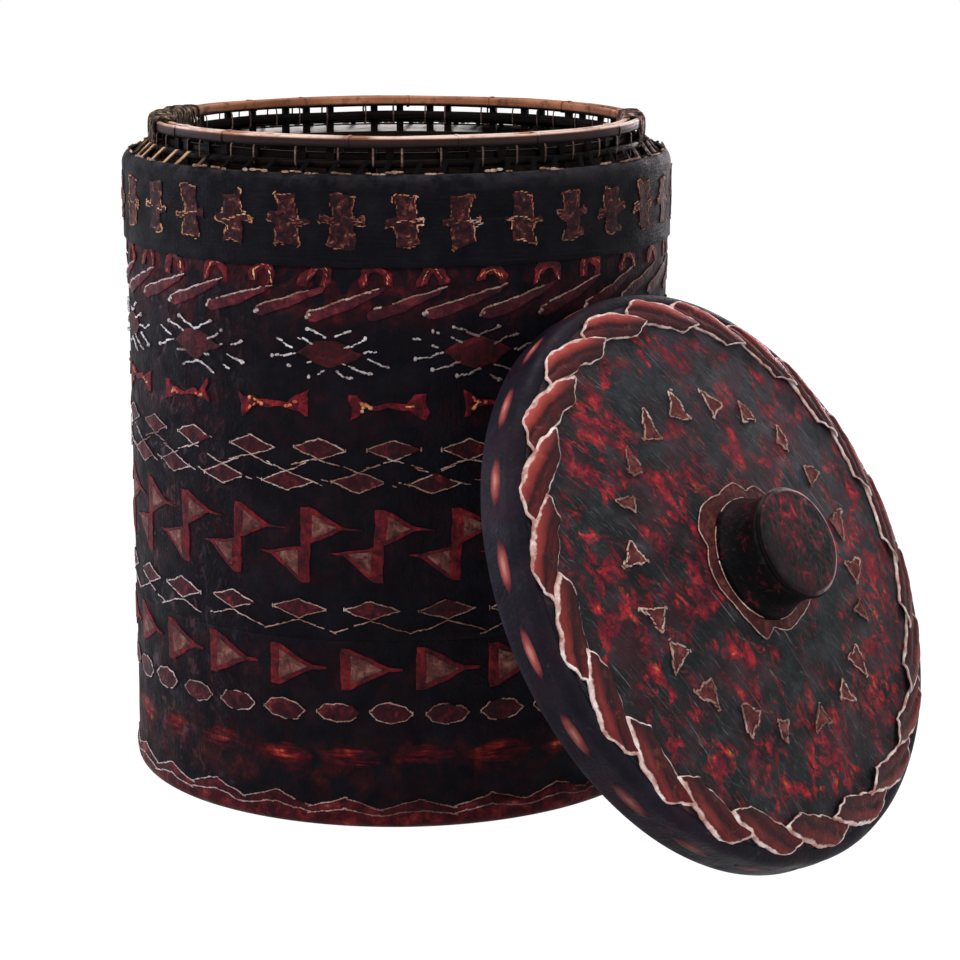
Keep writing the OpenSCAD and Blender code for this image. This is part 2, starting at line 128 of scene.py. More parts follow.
# Camera: place in metres, turns in radians, lens and sensor in millimetres
CAMERA_PLACE = (0.0, -1.3728, 0.4399)
CAMERA_DOWN, CAMERA_RIGHT = 0.2157, 0.0298
LENS, SENSOR = 104.0, 36.0

# Disc lamps, all turned to one spot: place, width, watts and colour
LIT_SPOT = Vector((0.05, -0.05, 0.16))
LAMPS = {
    "key_lamp": ((-0.9, -1.3, 1.5), 0.8, 23, (1.0, 0.98, 0.98)),
    "fill_lamp": ((1.5, -1.2, 0.8), 1.2, 11.5, (0.95, 0.96, 1.0)),
    "top_lamp": ((0.1, 0.5, 1.9), 1.0, 17, (1.0, 0.99, 1.0)),
    "left_lamp": ((-1.5, 0.35, 0.5), 0.8, 10.5, (0.80, 0.78, 1.0)),
    "right_lamp": ((0.9, 1.4, 0.45), 0.6, 12, (1.0, 0.88, 0.93)),
}
SKY_COLOUR, SKY_STRENGTH = (0.88, 0.90, 1.0), 0.26
FLOOR_R, FLOOR_GREY = 6.0, (0.84, 0.84, 0.84)
FLOOR_GLOW, GLOW_SHARE = 1.16, 0.86


# Short ways to write node trees


class Nodes:
    """Adds nodes to a tree and links them in one line each."""

    def __init__(self, tree):
        self.tree = tree

    def add(self, kind, inputs=(), output=0, **settings):
        node = self.tree.nodes.new(kind)
        for key, value in settings.items():
            setattr(node, key, value)
        for key, value in dict(inputs).items():
            self.feed(node.inputs[key], value)
        return node.outputs[output]

    def feed(self, socket, value):
        if isinstance(value, bpy.types.NodeSocket):
            self.tree.links.new(value, socket)
        else:
            socket.default_value = value

    def math(self, operation, a, b=0.0):
        return self.add("ShaderNodeMath", {0: a, 1: b}, operation=operation)

    def plus(self, total, *values):
        for value in values:
            total = self.math("ADD", total, value)
        return total

    def minus(self, a, b):
        return self.math("SUBTRACT", a, b)

    def times(self, product, *values):
        for value in values:
            product = self.math("MULTIPLY", product, value)
        return product

    def length(self, x, y):
        return self.math("SQRT", self.plus(self.times(x, x), self.times(y, y)))

    def span(self, value, low, high, to_low=0.0, to_high=1.0):
        inputs = {"Value": value, "From Min": low, "From Max": high, "To Min": to_low, "To Max": to_high}
        return self.add("ShaderNodeMapRange", inputs)

    def mix(self, share, a, b):
        a, b = ((*colour, 1) if isinstance(colour, tuple) else colour for colour in (a, b))
        return self.add("ShaderNodeMix", {0: share, 6: a, 7: b}, output=2, data_type="RGBA")

    def split(self, vector):
        node = self.tree.nodes.new("ShaderNodeSeparateXYZ")
        self.feed(node.inputs[0], vector)
        return node.outputs

    def join(self, x, y, z):
        return self.add("ShaderNodeCombineXYZ", {0: x, 1: y, 2: z})


class Finish(Nodes):
    """A material in the making."""

    def __init__(self, name, on_lid=False):
        self.material = bpy.data.materials.new(name)
        self.material.use_nodes = True
        super().__init__(self.material.node_tree)
        self.place = self.add("ShaderNodeTexCoord", output="Object")
        if on_lid:
            to_lid = LID.inverted()
            turned = {"Location": to_lid.to_translation(), "Rotation": to_lid.to_euler()}
            self.place = self.add("ShaderNodeMapping", {"Vector": self.place, **turned})

    def stretched(self, x, y, z):
        return self.add("ShaderNodeMapping", {"Vector": self.place, "Scale": (x, y, z)})

    def cloud(self, scale, detail=4.0, rough=0.55, vector=None, bend=0.0):
        inputs = {"Scale": scale, "Detail": detail, "Roughness": rough, "Distortion": bend}
        inputs["Vector"] = vector or self.place
        return self.add("ShaderNodeTexNoise", inputs)

    def ramp(self, value, *stops):
        """A colour for each value; a stop is a position with its red, green and blue."""
        node = self.tree.nodes.new("ShaderNodeValToRGB")
        elements = node.color_ramp.elements
        for element, (position, *colour) in zip(elements[:], (stops[0], stops[-1])):
            element.position = position
            element.color = (*colour, 1)
        for position, *colour in stops[1:-1]:
            elements.new(position).color = (*colour, 1)
        self.feed(node.inputs[0], value)
        return node.outputs[0]

    def levels(self, value, *stops):
        """A share for each value; a stop is a position with its level."""
        return self.ramp(value, *((position, level, level, level) for position, level in stops))

    def done(self, colour, rough, height, depth, specular):
        shader = self.tree.nodes["Principled BSDF"]
        bump = self.add("ShaderNodeBump", {"Height": height, "Distance": depth, "Strength": 1.0})
        self.feed(shader.inputs["Base Color"], colour)
        self.feed(shader.inputs["Roughness"], rough)
        self.feed(shader.inputs["Specular IOR Level"], specular)
        self.feed(shader.inputs["Normal"], bump)
        return self.material


# Camera, light and floor


def aim_camera():
    camera = bpy.data.objects.new("camera", bpy.data.cameras.new("camera"))
    camera.data.lens = LENS
    camera.data.sensor_width = SENSOR
    camera.location = CAMERA_PLACE
    camera.rotation_euler = (math.pi / 2 - CAMERA_DOWN, 0.0, -CAMERA_RIGHT)
    scene.collection.objects.link(camera)
    scene.camera = camera


def add_lamp(name, place, size, watts, colour):
    lamp = bpy.data.objects.new(name, bpy.data.lights.new(name, "AREA"))
    lamp.data.shape = "DISK"
    lamp.data.size = size
    lamp.data.energy = watts
    lamp.data.color = colour
    lamp.location = place
    lamp.rotation_euler = (LIT_SPOT - Vector(place)).to_track_quat("-Z", "Y").to_euler()
    scene.collection.objects.link(lamp)


def sees_white(n):
    """Share of rays that see the white background: the camera's own, the mirrored and the passed ones."""
    path = n.tree.nodes.new("ShaderNodeLightPath").outputs
    share = n.math("MAXIMUM", path["Is Camera Ray"], path["Is Glossy Ray"])
    return n.math("MAXIMUM", share, path["Is Transmission Ray"])


def light_studio():
    scene.view_settings.view_transform = "Standard"
    for name, lamp in LAMPS.items():
        add_lamp(name, *lamp)
    scene.world = bpy.data.worlds.new("studio")
    scene.world.use_nodes = True
    n = Nodes(scene.world.node_tree)
    background = n.tree.nodes["Background"]
    white = sees_white(n)
    n.feed(background.inputs["Color"], n.mix(white, SKY_COLOUR, (1.0, 1.0, 1.0)))
    n.feed(background.inputs["Strength"], n.span(white, 0.0, 1.0, SKY_STRENGTH, 1.0))


def lay_floor():
    disc = bmesh.new()
    bmesh.ops.create_circle(disc, cap_ends=True, segments=96, radius=FLOOR_R)
    paper = bpy.data.materials.new("floor_paper")
    paper.use_nodes = True
    n = Nodes(paper.node_tree)
    shader = n.tree.nodes["Principled BSDF"]
    shader.inputs["Base Color"].default_value = (*FLOOR_GREY, 1)
    shader.inputs["Roughness"].default_value = 0.9
    shader.inputs["Specular IOR Level"].default_value = 0.1
    glow = n.add("ShaderNodeEmission", {"Strength": FLOOR_GLOW})
    share = n.times(sees_white(n), GLOW_SHARE)
    blend = n.add("ShaderNodeMixShader", {0: share, 1: shader.outputs[0], 2: glow})
    n.feed(n.tree.nodes["Material Output"].inputs["Surface"], blend)
    make_object("floor", mesh_of("floor", disc), paper)


# Materials

CHARCOAL = ((0.25, 0.0008, 0.0008, 0.0017), (0.5, 0.0022, 0.0021, 0.0038), (0.8, 0.0062, 0.0056, 0.0088))

# Red haze of the dye up the wall: share of the height, and strength
DYE_TALL = 310 * MM
DYE_ROWS = (
    (0.00, 0.6), (0.05, 0.2), (0.085, 0.6), (0.115, 0.55), (0.15, 0.1), (0.2, 0.08), (0.25, 0.22),
    (0.3, 0.04), (0.36, 0.05), (0.44, 0.22), (0.52, 0.06), (0.57, 0.03), (0.645, 0.2), (0.69, 0.03),
    (0.74, 0.05), (0.775, 0.28), (0.80, 0.8), (0.83, 1.0), (0.85, 0.85), (0.858, 0.1), (1.0, 0.03),
)

# Blurred red streaks low on the wall
STREAKS, STREAK_Z = 24, 29.5 * MM


def low_streaks(f, colour):
    x, y, z = f.split(f.place)
    bearing = f.math("ARCTAN2", x, f.times(y, -1.0))
    drawn = f.cloud(1, 5, 0.65, f.stretched(45, 45, 330), 0.5)
    step = f.plus(f.times(bearing, STREAKS / TURN), f.times(f.cloud(24), 0.5))
    aside = f.minus(f.math("FRACT", f.plus(step, 99.9)), 0.5)
    above = f.minus(z, f.plus(STREAK_Z, f.times(f.cloud(30), 0.012)))

    def off(value, scale):
        return f.math("POWER", f.math("ABSOLUTE", f.times(value, scale)), 1.4)

    near = f.levels(f.plus(off(aside, 2.1), off(above, 150.0)), (0.05, 1.0), (0.45, 0.5), (1.0, 0.0))
    share = f.times(near, f.levels(drawn, (0.36, 0.0), (0.58, 1.0)))
    ember = f.ramp(
        f.plus(f.times(drawn, 0.6), f.times(f.cloud(210, 4), 0.4)),
        (0.40, 0.026, 0.003, 0.006), (0.52, 0.12, 0.008, 0.012),
        (0.61, 0.32, 0.026, 0.018), (0.69, 0.85, 0.33, 0.11),
    )
    return f.mix(share, colour, ember)


def wall_leather():
    f = Finish("wall_leather")
    x, _, z = f.split(f.place)
    base = f.ramp(f.cloud(55, 6, 0.6), *CHARCOAL)
    fibre = f.cloud(1, 5, 0.7, f.stretched(420, 420, 90), 0.4)
    base = f.mix(f.levels(fibre, (0.55, 0.0), (0.85, 0.5)), base, (0.011, 0.009, 0.012))
    rows = f.levels(f.span(z, 0.0, DYE_TALL), *DYE_ROWS)
    # The red haze weakens towards the right of the box: painted shade where the lid's shadow falls
    dye_under_painted_shade = f.span(x, -0.13, 0.12, 1.0, 0.3)
    cloudy = f.levels(f.cloud(75, 5, 0.6, bend=0.6), (0.42, 0.0), (0.66, 1.0))
    dye = f.ramp(
        f.cloud(160, 3),
        (0.35, 0.026, 0.004, 0.006), (0.55, 0.070, 0.008, 0.010), (0.75, 0.19, 0.024, 0.018),
    )
    colour = low_streaks(f, f.mix(f.times(rows, dye_under_painted_shade, cloudy), base, dye))
    # Pale scuffs down the left side, which also paint the sheen of light along that side
    worn = f.levels(f.cloud(1, 6, 0.7, f.stretched(160, 160, 110), 0.8), (0.55, 0.0), (0.66, 0.6))
    scuff = f.ramp(f.cloud(40), (0.42, 0.060, 0.045, 0.062), (0.58, 0.13, 0.055, 0.058))
    colour = f.mix(f.times(f.span(x, -0.062, -0.112), worn), colour, scuff)
    rough = f.span(f.cloud(90, 4), 0.3, 0.7, 0.5, 0.78)
    height = f.plus(f.cloud(700, 3), f.times(f.cloud(95, 4, 0.6), 2.2), f.times(fibre, 0.8))
    return f.done(colour, rough, height, 0.00045, 0.05)


def band_leather():
    f = Finish("shoulder_leather")
    base = f.ramp(f.cloud(60, 6, 0.6), *CHARCOAL)
    fibre = f.cloud(1, 5, 0.7, f.stretched(60, 60, 700), 0.2)
    base = f.mix(f.levels(fibre, (0.55, 0.0), (0.85, 0.6)), base, (0.013, 0.0115, 0.0145))
    high = f.span(f.split(f.place)[2], 0.300, 0.308)
    worn = f.times(high, f.levels(f.cloud(120, 5), (0.42, 0.0), (0.62, 0.8)))
    colour = f.mix(worn, base, (0.028, 0.025, 0.028))
    rough = f.span(f.cloud(90, 4), 0.3, 0.7, 0.48, 0.75)
    height = f.plus(f.cloud(650, 3), f.times(fibre, 1.6))
    return f.done(colour, rough, height, 0.0005, 0.055)


def patch_leather(name, *stops, on_lid=False, scale=190, specular=0.08, painted_shade_right=0.0):
    """Mottled red leather, optionally darkened towards the right of the box as painted shade where the lid's
    shadow falls.
    """
    f = Finish(name, on_lid)
    colour = f.ramp(f.cloud(scale, 6, 0.65, bend=0.5), *stops)
    dark = f.levels(f.cloud(260, 4, 0.6), (0.5, 0.0), (0.7, 0.75))
    colour = f.mix(dark, colour, (0.006, 0.003, 0.004))
    if painted_shade_right:
        # Painted shade towards the right of the box, where the lid's shadow falls
        shade_right_share = f.span(f.split(f.place)[0], -0.05, 0.05, 0.0, painted_shade_right)
        colour = f.mix(shade_right_share, colour, (0.008, 0.003, 0.004))
    rough = f.span(f.cloud(150, 3), 0.3, 0.7, 0.45, 0.7)
    height = f.plus(f.cloud(620, 3), f.times(f.cloud(190, 4), 1.5))
    return f.done(colour, rough, height, 0.0005, specular)


def thread(name, *stops, on_lid=False, lit=0.0, shaded_right=0.0, glow=(0.72, 0.69, 0.72)):
    """Worn thread, optionally brightened at the left of the box in the glow colour as a painted highlight,
    and darkened towards the right as painted shade near the lid.
    """
    f = Finish(name, on_lid)
    x = f.split(f.place)[0]
    colour = f.ramp(f.cloud(110, 4, 0.7), *stops)
    # Painted highlight at the left of the box
    if lit:
        colour = f.mix(f.span(x, -0.045, -0.11, 0.0, lit), colour, glow)
    # Painted shade towards the right of the box, near the lid
    if shaded_right:
        colour = f.mix(f.span(x, -0.025, 0.045, 0.0, shaded_right), colour, (0.075, 0.040, 0.032))
    colour = f.mix(f.levels(f.cloud(420, 3), (0.48, 0.0), (0.7, 0.7)), colour, (0.060, 0.022, 0.017))
    colour = f.mix(f.levels(f.cloud(24, 3), (0.46, 0.0), (0.64, 0.75)), colour, (0.075, 0.026, 0.020))
    return f.done(colour, 0.75, f.cloud(1800, 2), 0.00025, 0.15)


def rim_highlight_and_shade(f, colour):
    """The near rim: a painted highlight on top, painted shade on its face and painted shade underneath."""
    _, y, z = f.split(f.place)
    shade = f.times(f.span(y, 0.05, -0.02), f.span(z, RIM_TOP - 0.3 * MM, RIM_TOP - 1.3 * MM), 0.97)
    colour = f.mix(shade, colour, (0.014, 0.006, 0.007))
    # Painted shade on the lower part of the rim hoops
    colour = f.mix(f.span(z, RIM_TOP - 3 * MM, RIM_TOP - 4 * MM), colour, (0.006, 0.004, 0.004))
    # Painted highlight, in patches, along the top of the near side
    near = f.span(y, 0.03, -0.03, 0.0, 0.9)
    patchy_highlight = f.levels(f.cloud(40, 5, 0.6), (0.36, 0.0), (0.52, 1.0))
    top = f.span(z, RIM_TOP - 1 * MM, RIM_TOP - 0.3 * MM)
    return f.mix(f.times(near, patchy_highlight, top), colour, (0.80, 0.60, 0.50))


def cane_finish(name, gloss, pale, mid, dark, worn=False):
    f = Finish(name)
    x, y, z = f.split(f.place)
    across = f.times(f.plus(z, f.length(x, y)), 900.0)
    grain = f.cloud(1, 4, 0.65, f.join(f.times(x, 22), f.times(y, 22), across))
    tone = f.plus(f.times(grain, 0.5), f.times(f.cloud(28, 4, 0.6), 0.5))
    colour = f.ramp(tone, (0.32, *dark), (0.5, *mid), (0.66, *pale))
    stain = f.levels(f.cloud(140, 5, 0.65), (0.52, 0.0), (0.68, 0.8))
    colour = f.mix(stain, colour, tuple(c * 0.25 for c in dark))
    # worn paints the near rim's highlight and shade
    if worn:
        colour = rim_highlight_and_shade(f, colour)
    return f.done(colour, f.span(grain, 0.3, 0.7, 0.35, 0.6), grain, 0.0004, gloss)


def back_gap_painted_light(f):
    """Share of painted light at the back of the ledge: the straw is made near white where the gaps under the
    middle hoop show light through.
    """
    x, y, z = f.split(f.place)
    beside = f.times(f.span(x, -0.082, -0.070), f.span(x, 0.046, 0.028))
    return f.times(beside, f.span(y, 0.07, 0.09), f.span(z, 0.3015, 0.3035))


def straw_finish(name, pale, dark, painted_gap_light=False):
    f = Finish(name)
    strand = f.cloud(1, 4, 0.6, f.stretched(160, 160, 900))
    colour = f.ramp(strand, (0.3, *dark), (0.7, *pale))
    stain = f.levels(f.cloud(40, 4), (0.45, 0.0), (0.65, 0.8))
    colour = f.mix(stain, colour, tuple(c * 0.3 for c in dark))
    if painted_gap_light:
        # Painted light: the straw near white where the back gaps show light
        colour = f.mix(back_gap_painted_light(f), colour, (0.86, 0.81, 0.76))
    return f.done(colour, 0.9, strand, 0.0008, 0.02)


def timber_finish():
    f = Finish("peg_timber")
    grain = f.cloud(1, 5, 0.6, f.stretched(60, 420, 420), 0.8)
    colour = f.ramp(grain, (0.3, 0.05, 0.026, 0.013), (0.55, 0.13, 0.075, 0.04), (0.75, 0.22, 0.14, 0.08))
    return f.done(colour, f.span(grain, 0.3, 0.7, 0.5, 0.75), grain, 0.0005, 0.3)


# Strength of the red on the dome by its reach, as a share of the dome's
DOME_RED_R = 131 * MM
DOME_RINGS = (
    (0.0, 0.6), (0.24, 0.6), (0.36, 1.0), (0.48, 0.85), (0.58, 0.5),
    (0.68, 0.95), (0.80, 1.0), (0.87, 0.4), (1.0, 0.1)
)


def lid_leather():
    """The dome: black leather with leaning scratches, painted light in a pale mottle at the upper right and
    flecks of red.
    """
    f = Finish("lid_leather", on_lid=True)
    x, y = f.split(f.place)[:2]

    def drawn_out(lean, long, fine):
        """The place on the lid turned and stretched, so that a cloud of it runs in streaks."""
        inputs = {"Vector": f.place, "Rotation": (0, 0, lean), "Scale": (1 / long, 1 / fine, 1 / 140)}
        return f.add("ShaderNodeMapping", inputs, vector_type="TEXTURE")

    base = f.ramp(
        f.cloud(70, 6, 0.65),
        (0.36, 0.002, 0.0035, 0.004), (0.54, 0.009, 0.012, 0.0135), (0.74, 0.042, 0.044, 0.049),
    )
    fibre = f.cloud(1, 6, 0.75, drawn_out(0.45, 20, 430), 3.0)
    across = f.cloud(1, 6, 0.75, drawn_out(0.95, 22, 380), 3.0)
    base = f.mix(f.levels(fibre, (0.59, 0.0), (0.66, 0.85)), base, (0.20, 0.18, 0.19))
    base = f.mix(f.levels(across, (0.61, 0.0), (0.68, 0.75)), base, (0.18, 0.15, 0.155))
    # Painted light: a paler, bluish mottle towards the upper right of the dome
    upper_right = f.span(f.minus(y, x), -0.02, 0.15)
    painted_light_mottle = f.levels(f.cloud(85, 6, 0.7), (0.40, 0.0), (0.62, 0.5))
    base = f.mix(f.times(upper_right, painted_light_mottle), base, (0.060, 0.060, 0.072))
    rings = f.levels(f.span(f.length(x, y), 0.0, DOME_RED_R), *DOME_RINGS)
    haze = f.times(f.levels(f.cloud(38, 4), (0.46, 0.0), (0.62, 0.7)), rings, 0.5)
    colour = f.mix(haze, base, (0.075, 0.010, 0.018))
    broad = f.levels(f.cloud(46, 4, 0.55, bend=0.5), (0.455, 0.0), (0.545, 1.0))
    fleck = f.levels(f.cloud(1, 6, 0.72, drawn_out(0.5, 85, 150), 0.8), (0.46, 0.0), (0.55, 1.0))
    red = f.ramp(
        f.cloud(130, 5, 0.7),
        (0.36, 0.045, 0.005, 0.013), (0.51, 0.22, 0.012, 0.024),
        (0.62, 0.55, 0.036, 0.034), (0.73, 0.90, 0.28, 0.08),
    )
    colour = f.mix(f.times(rings, broad, fleck), colour, red)
    rough = f.span(f.cloud(90, 4), 0.3, 0.7, 0.5, 0.75)
    height = f.plus(f.cloud(600, 3), f.times(fibre, 1.6))
    return f.done(colour, rough, height, 0.00055, 0.125)


def side_colour(f, stops, tinge):
    """Black leather with a red tinge and pale scuffs, as on the lid's side."""
    base = f.ramp(f.cloud(60, 6, 0.6), *stops)
    colour = f.mix(f.levels(f.cloud(34, 4), (0.48, 0.0), (0.68, 0.5)), base, tinge)
    scuff = f.levels(f.cloud(150, 6, 0.75, bend=1.5), (0.60, 0.0), (0.70, 0.5))
    return f.mix(scuff, colour, (0.050, 0.046, 0.052))


def side_done(f, colour, specular):
    height = f.plus(f.cloud(600, 3), f.times(f.cloud(110, 4), 1.5))
    return f.done(colour, f.span(f.cloud(80, 4), 0.3, 0.7, 0.45, 0.68), height, 0.0004, specular)


def lid_side_leather(name, stops, tinge, specular, fleck=None):
    f = Finish(name, on_lid=True)
    colour = side_colour(f, stops, tinge)
    if fleck:
        colour = f.mix(f.levels(f.cloud(125, 5, 0.7, bend=0.8), (0.57, 0.0), (0.68, 0.8)), colour, fleck)
    return side_done(f, colour, specular)


def spot_leather(stops, tinge, specular):
    """The lid side's leather with a soft red blur in each spot, its red weakened low on the leaning lid as
    painted shade.
    """
    f = Finish("spot_leather", on_lid=True)
    x, y, z = f.split(f.place)
    bearing = f.math("ARCTAN2", x, f.times(y, -1.0))
    step = f.minus(f.times(bearing, SPOTS / TURN), SPOT_TURN)
    aside = f.minus(f.math("FRACT", f.plus(step, 99.5)), 0.5)
    along = f.times(aside, 2 * TURN * LID_R / SPOTS / SPOT_LONG)
    above = f.times(f.minus(z, SPOT_Z), 2 / SPOT_TALL)
    far = f.length(along, above)
    red = f.ramp(
        f.plus(far, f.times(f.minus(f.cloud(170, 4), 0.5), 0.5)),
        (0.1, 0.42, 0.17, 0.135), (0.34, 0.29, 0.070, 0.055),
        (0.66, 0.12, 0.017, 0.020), (0.95, 0.024, 0.004, 0.008),
    )
    # Painted shade: the spots weaken low on the leaning lid
    share = f.times(f.levels(far, (0.66, 1.0), (0.95, 0.0)), f.span(x, 0.0, 0.11, 1.0, 0.25))
    colour = f.mix(share, side_colour(f, stops, tinge), red)
    return side_done(f, colour, specular)


def strip_edges(f, u, v, colour):
    """Cream cut edges of a border strip, widest at the outer side and the outer end."""
    sides = f.math("MINIMUM", f.times(f.minus(1.0, v), 10.5), f.times(v, 19.0))
    ends = f.math("MINIMUM", f.times(f.minus(1.0, u), 34.0), f.times(u, 50.0))
    ragged = f.plus(f.math("MINIMUM", sides, ends), f.times(f.minus(f.cloud(260, 4), 0.5), 2.0))
    pale = f.levels(f.span(ragged, 0.0, 2.0), (0.36, 1.0), (0.56, 0.0))
    cream = f.ramp(
        f.cloud(150, 3),
        (0.35, 0.38, 0.17, 0.14), (0.5, 0.66, 0.46, 0.40), (0.66, 0.90, 0.78, 0.72),
    )
    return f.mix(pale, colour, cream)


def strip_leather():
    """The lid's border strips: u runs along a strip and outwards, v across it from its inner edge."""
    f = Finish("border_leather", on_lid=True)
    u, v = f.split(f.add("ShaderNodeUVMap", uv_map="strip"))[:2]
    streak = f.cloud(1, 5, 0.65, f.join(f.times(u, 3.0), f.times(v, 11.0), f.times(f.cloud(14), 9.0)))
    colour = f.ramp(
        streak,
        (0.25, 0.014, 0.002, 0.003), (0.5, 0.056, 0.004, 0.006), (0.75, 0.18, 0.016, 0.014),
    )
    blotch = f.levels(f.cloud(110, 5, 0.65), (0.48, 0.0), (0.66, 0.8))
    colour = f.mix(blotch, colour, (0.016, 0.003, 0.005))
    # Painted shade in the furrow along each strip
    furrow_shade = f.levels(f.math("ABSOLUTE", f.minus(v, 0.44)), (0.0, 0.95), (0.16, 0.0))
    deep = f.times(furrow_shade, f.levels(f.cloud(22), (0.40, 0.4), (0.60, 1.0)))
    colour = f.mix(deep, colour, (0.007, 0.002, 0.003))
    # Painted highlight along the outer ridge
    ridge = f.levels(v, (0.56, 0.0), (0.76, 0.6), (0.90, 0.25))
    painted_shine = f.times(ridge, f.levels(f.cloud(45, 4), (0.4, 0.3), (0.6, 1.0)))
    colour = f.mix(painted_shine, colour, (0.27, 0.034, 0.030))
    inner_end = f.times(f.levels(u, (0.62, 0.0), (0.95, 0.6)), f.levels(v, (0.1, 1.0), (0.5, 0.0)))
    colour = f.mix(inner_end, colour, (0.20, 0.010, 0.018))
    # Painted highlight on the strips towards the top of the lid
    upwards = f.span(f.split(f.place)[0], 0.03, -0.11)
    lit = f.times(upwards, f.levels(v, (0.52, 0.0), (0.76, 0.45), (0.92, 0.9)))
    colour = f.mix(lit, colour, (0.47, 0.070, 0.052))
    colour = f.mix(f.levels(f.cloud(170, 5, 0.7), (0.56, 0.0), (0.68, 0.55)), colour, (0.24, 0.060, 0.035))
    # Shade along the inner edge and where the strip before lies on this one
    colour = f.mix(f.levels(v, (0.05, 0.75), (0.40, 0.0)), colour, (0.014, 0.002, 0.003))
    colour = f.mix(f.levels(u, (0.0, 0.9), (0.38, 0.0)), colour, (0.012, 0.002, 0.003))
    colour = strip_edges(f, u, v, colour)
    height = f.plus(f.cloud(620, 3), f.times(streak, 0.9))
    return f.done(colour, f.span(streak, 0.3, 0.7, 0.42, 0.62), height, 0.0005, 0.13)


def knob_top_leather():
    f = Finish("knob_top_leather", on_lid=True)
    x, y = f.split(f.place)[:2]
    colour = f.ramp(
        f.cloud(95, 6, 0.68, bend=1.4),
        (0.40, 0.003, 0.0045, 0.0045), (0.5, 0.015, 0.013, 0.014),
        (0.58, 0.085, 0.009, 0.016), (0.68, 0.34, 0.028, 0.036),
    )
    pale = f.levels(f.cloud(1, 5, 0.7, f.stretched(110, 560, 110), 1.2), (0.56, 0.0), (0.66, 0.7))
    colour = f.mix(pale, colour, (0.10, 0.075, 0.08))
    shade = f.span(f.minus(y, f.times(x, 0.8)), 0.004, -0.026, 0.0, 0.85)
    colour = f.mix(shade, colour, (0.004, 0.002, 0.003))
    # Painted highlight along the cap's edge on its lit side
    edge = f.times(f.span(f.length(x, y), 0.0232, 0.0240), f.span(y, -0.004, 0.010))
    painted_edge_highlight = f.times(edge, f.levels(f.cloud(110, 4), (0.36, 0.2), (0.52, 0.85)))
    colour = f.mix(painted_edge_highlight, colour, (0.42, 0.27, 0.27))
    rough = f.span(f.cloud(120, 3), 0.3, 0.7, 0.45, 0.65)
    return f.done(colour, rough, f.cloud(380, 4), 0.0006, 0.09)


def knob_edge_leather():
    f = Finish("knob_edge_leather", on_lid=True)
    x, y = f.split(f.place)[:2]
    lit_side = f.span(f.minus(y, f.times(x, 0.8)), -0.006, 0.018)
    # Painted highlight: pale on the cord's lit side
    worn = f.times(lit_side, f.levels(f.cloud(120, 4), (0.38, 0.2), (0.55, 1.0)))
    colour = f.mix(worn, (0.003, 0.002, 0.0025), (0.12, 0.075, 0.073))
    return f.done(colour, 0.7, f.cloud(700, 3), 0.0003, 0.05)


def lace_finish():
    """Black lacing, with a painted highlight in gold at the left end of the ledge and a pale painted
    highlight at the right end.
    """
    f = Finish("lace_cane")
    x, y = f.split(f.place)[:2]
    # Painted highlight in gold at the left end of the ledge
    left_end = f.times(f.span(x, -0.088, -0.098), f.span(y, 0.0, -0.03))
    golden_highlight = f.times(left_end, f.levels(f.cloud(150, 4), (0.36, 0.4), (0.50, 1.0)))
    colour = f.mix(golden_highlight, (0.003, 0.0025, 0.0025), (0.56, 0.34, 0.20))
    # Painted pale highlight at the right end of the ledge
    worn = f.times(f.span(x, 0.104, 0.118), f.levels(f.cloud(220, 4), (0.44, 0.0), (0.56, 0.8)))
    colour = f.mix(worn, colour, (0.36, 0.26, 0.25))
    return f.done(colour, 0.8, f.cloud(900, 3), 0.0003, 0.03)


# Meshes


def mesh_of(name, shape):
    """Turns a shape in the making into a mesh."""
    mesh = bpy.data.meshes.new(name)
    shape.to_mesh(mesh)
    shape.free()
    return mesh


def mesh_from(name, points, faces):
    """A mesh with every face turned outwards."""
    mesh = bpy.data.meshes.new(name)
    mesh.from_pydata(points, [], faces)
    shape = bmesh.new()
    shape.from_mesh(mesh)
    bmesh.ops.recalc_face_normals(shape, faces=shape.faces)
    shape.to_mesh(mesh)
    shape.free()
    return mesh


def make_object(name, mesh, finish):
    piece = bpy.data.objects.new(name, mesh)
    scene.collection.objects.link(piece)
    mesh.materials.append(finish)
    mesh.shade_smooth()
    return piece


def wander(*place):
    return noise.noise(Vector(place))


def wander_round(angle, scale, depth):
    """Random unevenness round a ring."""
    return wander(math.cos(angle) * scale, math.sin(angle) * scale, depth)


def lathe(name, section, segments, finish, move):
    """Turns a closed section of (radius, height) points round the upright axis; move shifts each point."""
    count = len(section)
    points, faces = [], []
    for i in range(segments):
        angle = TURN * i / segments
        for r, z in section:
            dr, dz = move(angle, r, z)
            points.append(((r + dr) * math.sin(angle), -(r + dr) * math.cos(angle), z + dz))
    for i in range(segments):
        j = (i + 1) % segments
        for k in range(count):
            m = (k + 1) % count
            faces.append((i * count + k, j * count + k, j * count + m, i * count + m))
    return make_object(name, mesh_from(name, points, faces), finish)


def arc(cx, cy, rx, ry, start, end, steps):
    angles = [math.radians(start + (end - start) * k / steps) for k in range(steps + 1)]
    return [(cx + rx * math.cos(a), cy + ry * math.sin(a)) for a in angles]


def wall_section(low, high, rows, lip=0.1 * MM):
    """Section of the wall's thin leather with a small lip at both edges."""
    outer = [(WALL_R, low + lip + (high - low - 2 * lip) * k / rows) for k in range(rows + 1)]
    return [(WALL_R - lip, low), *outer, (WALL_R - lip, high), (WALL_IN, high), (WALL_IN, low)]


def hoop_section(r_in, r_out, low, high, corner):
    """Section of a hoop with rounded corners."""
    points = []
    for r, z, start in (
        (r_out - corner, low + corner, -90),
        (r_out - corner, high - corner, 0),
        (r_in + corner, high - corner, 90),
        (r_in + corner, low + corner, 180),
    ):
        points += arc(r, z, corner, corner, start, start + 90, 3)
    return points


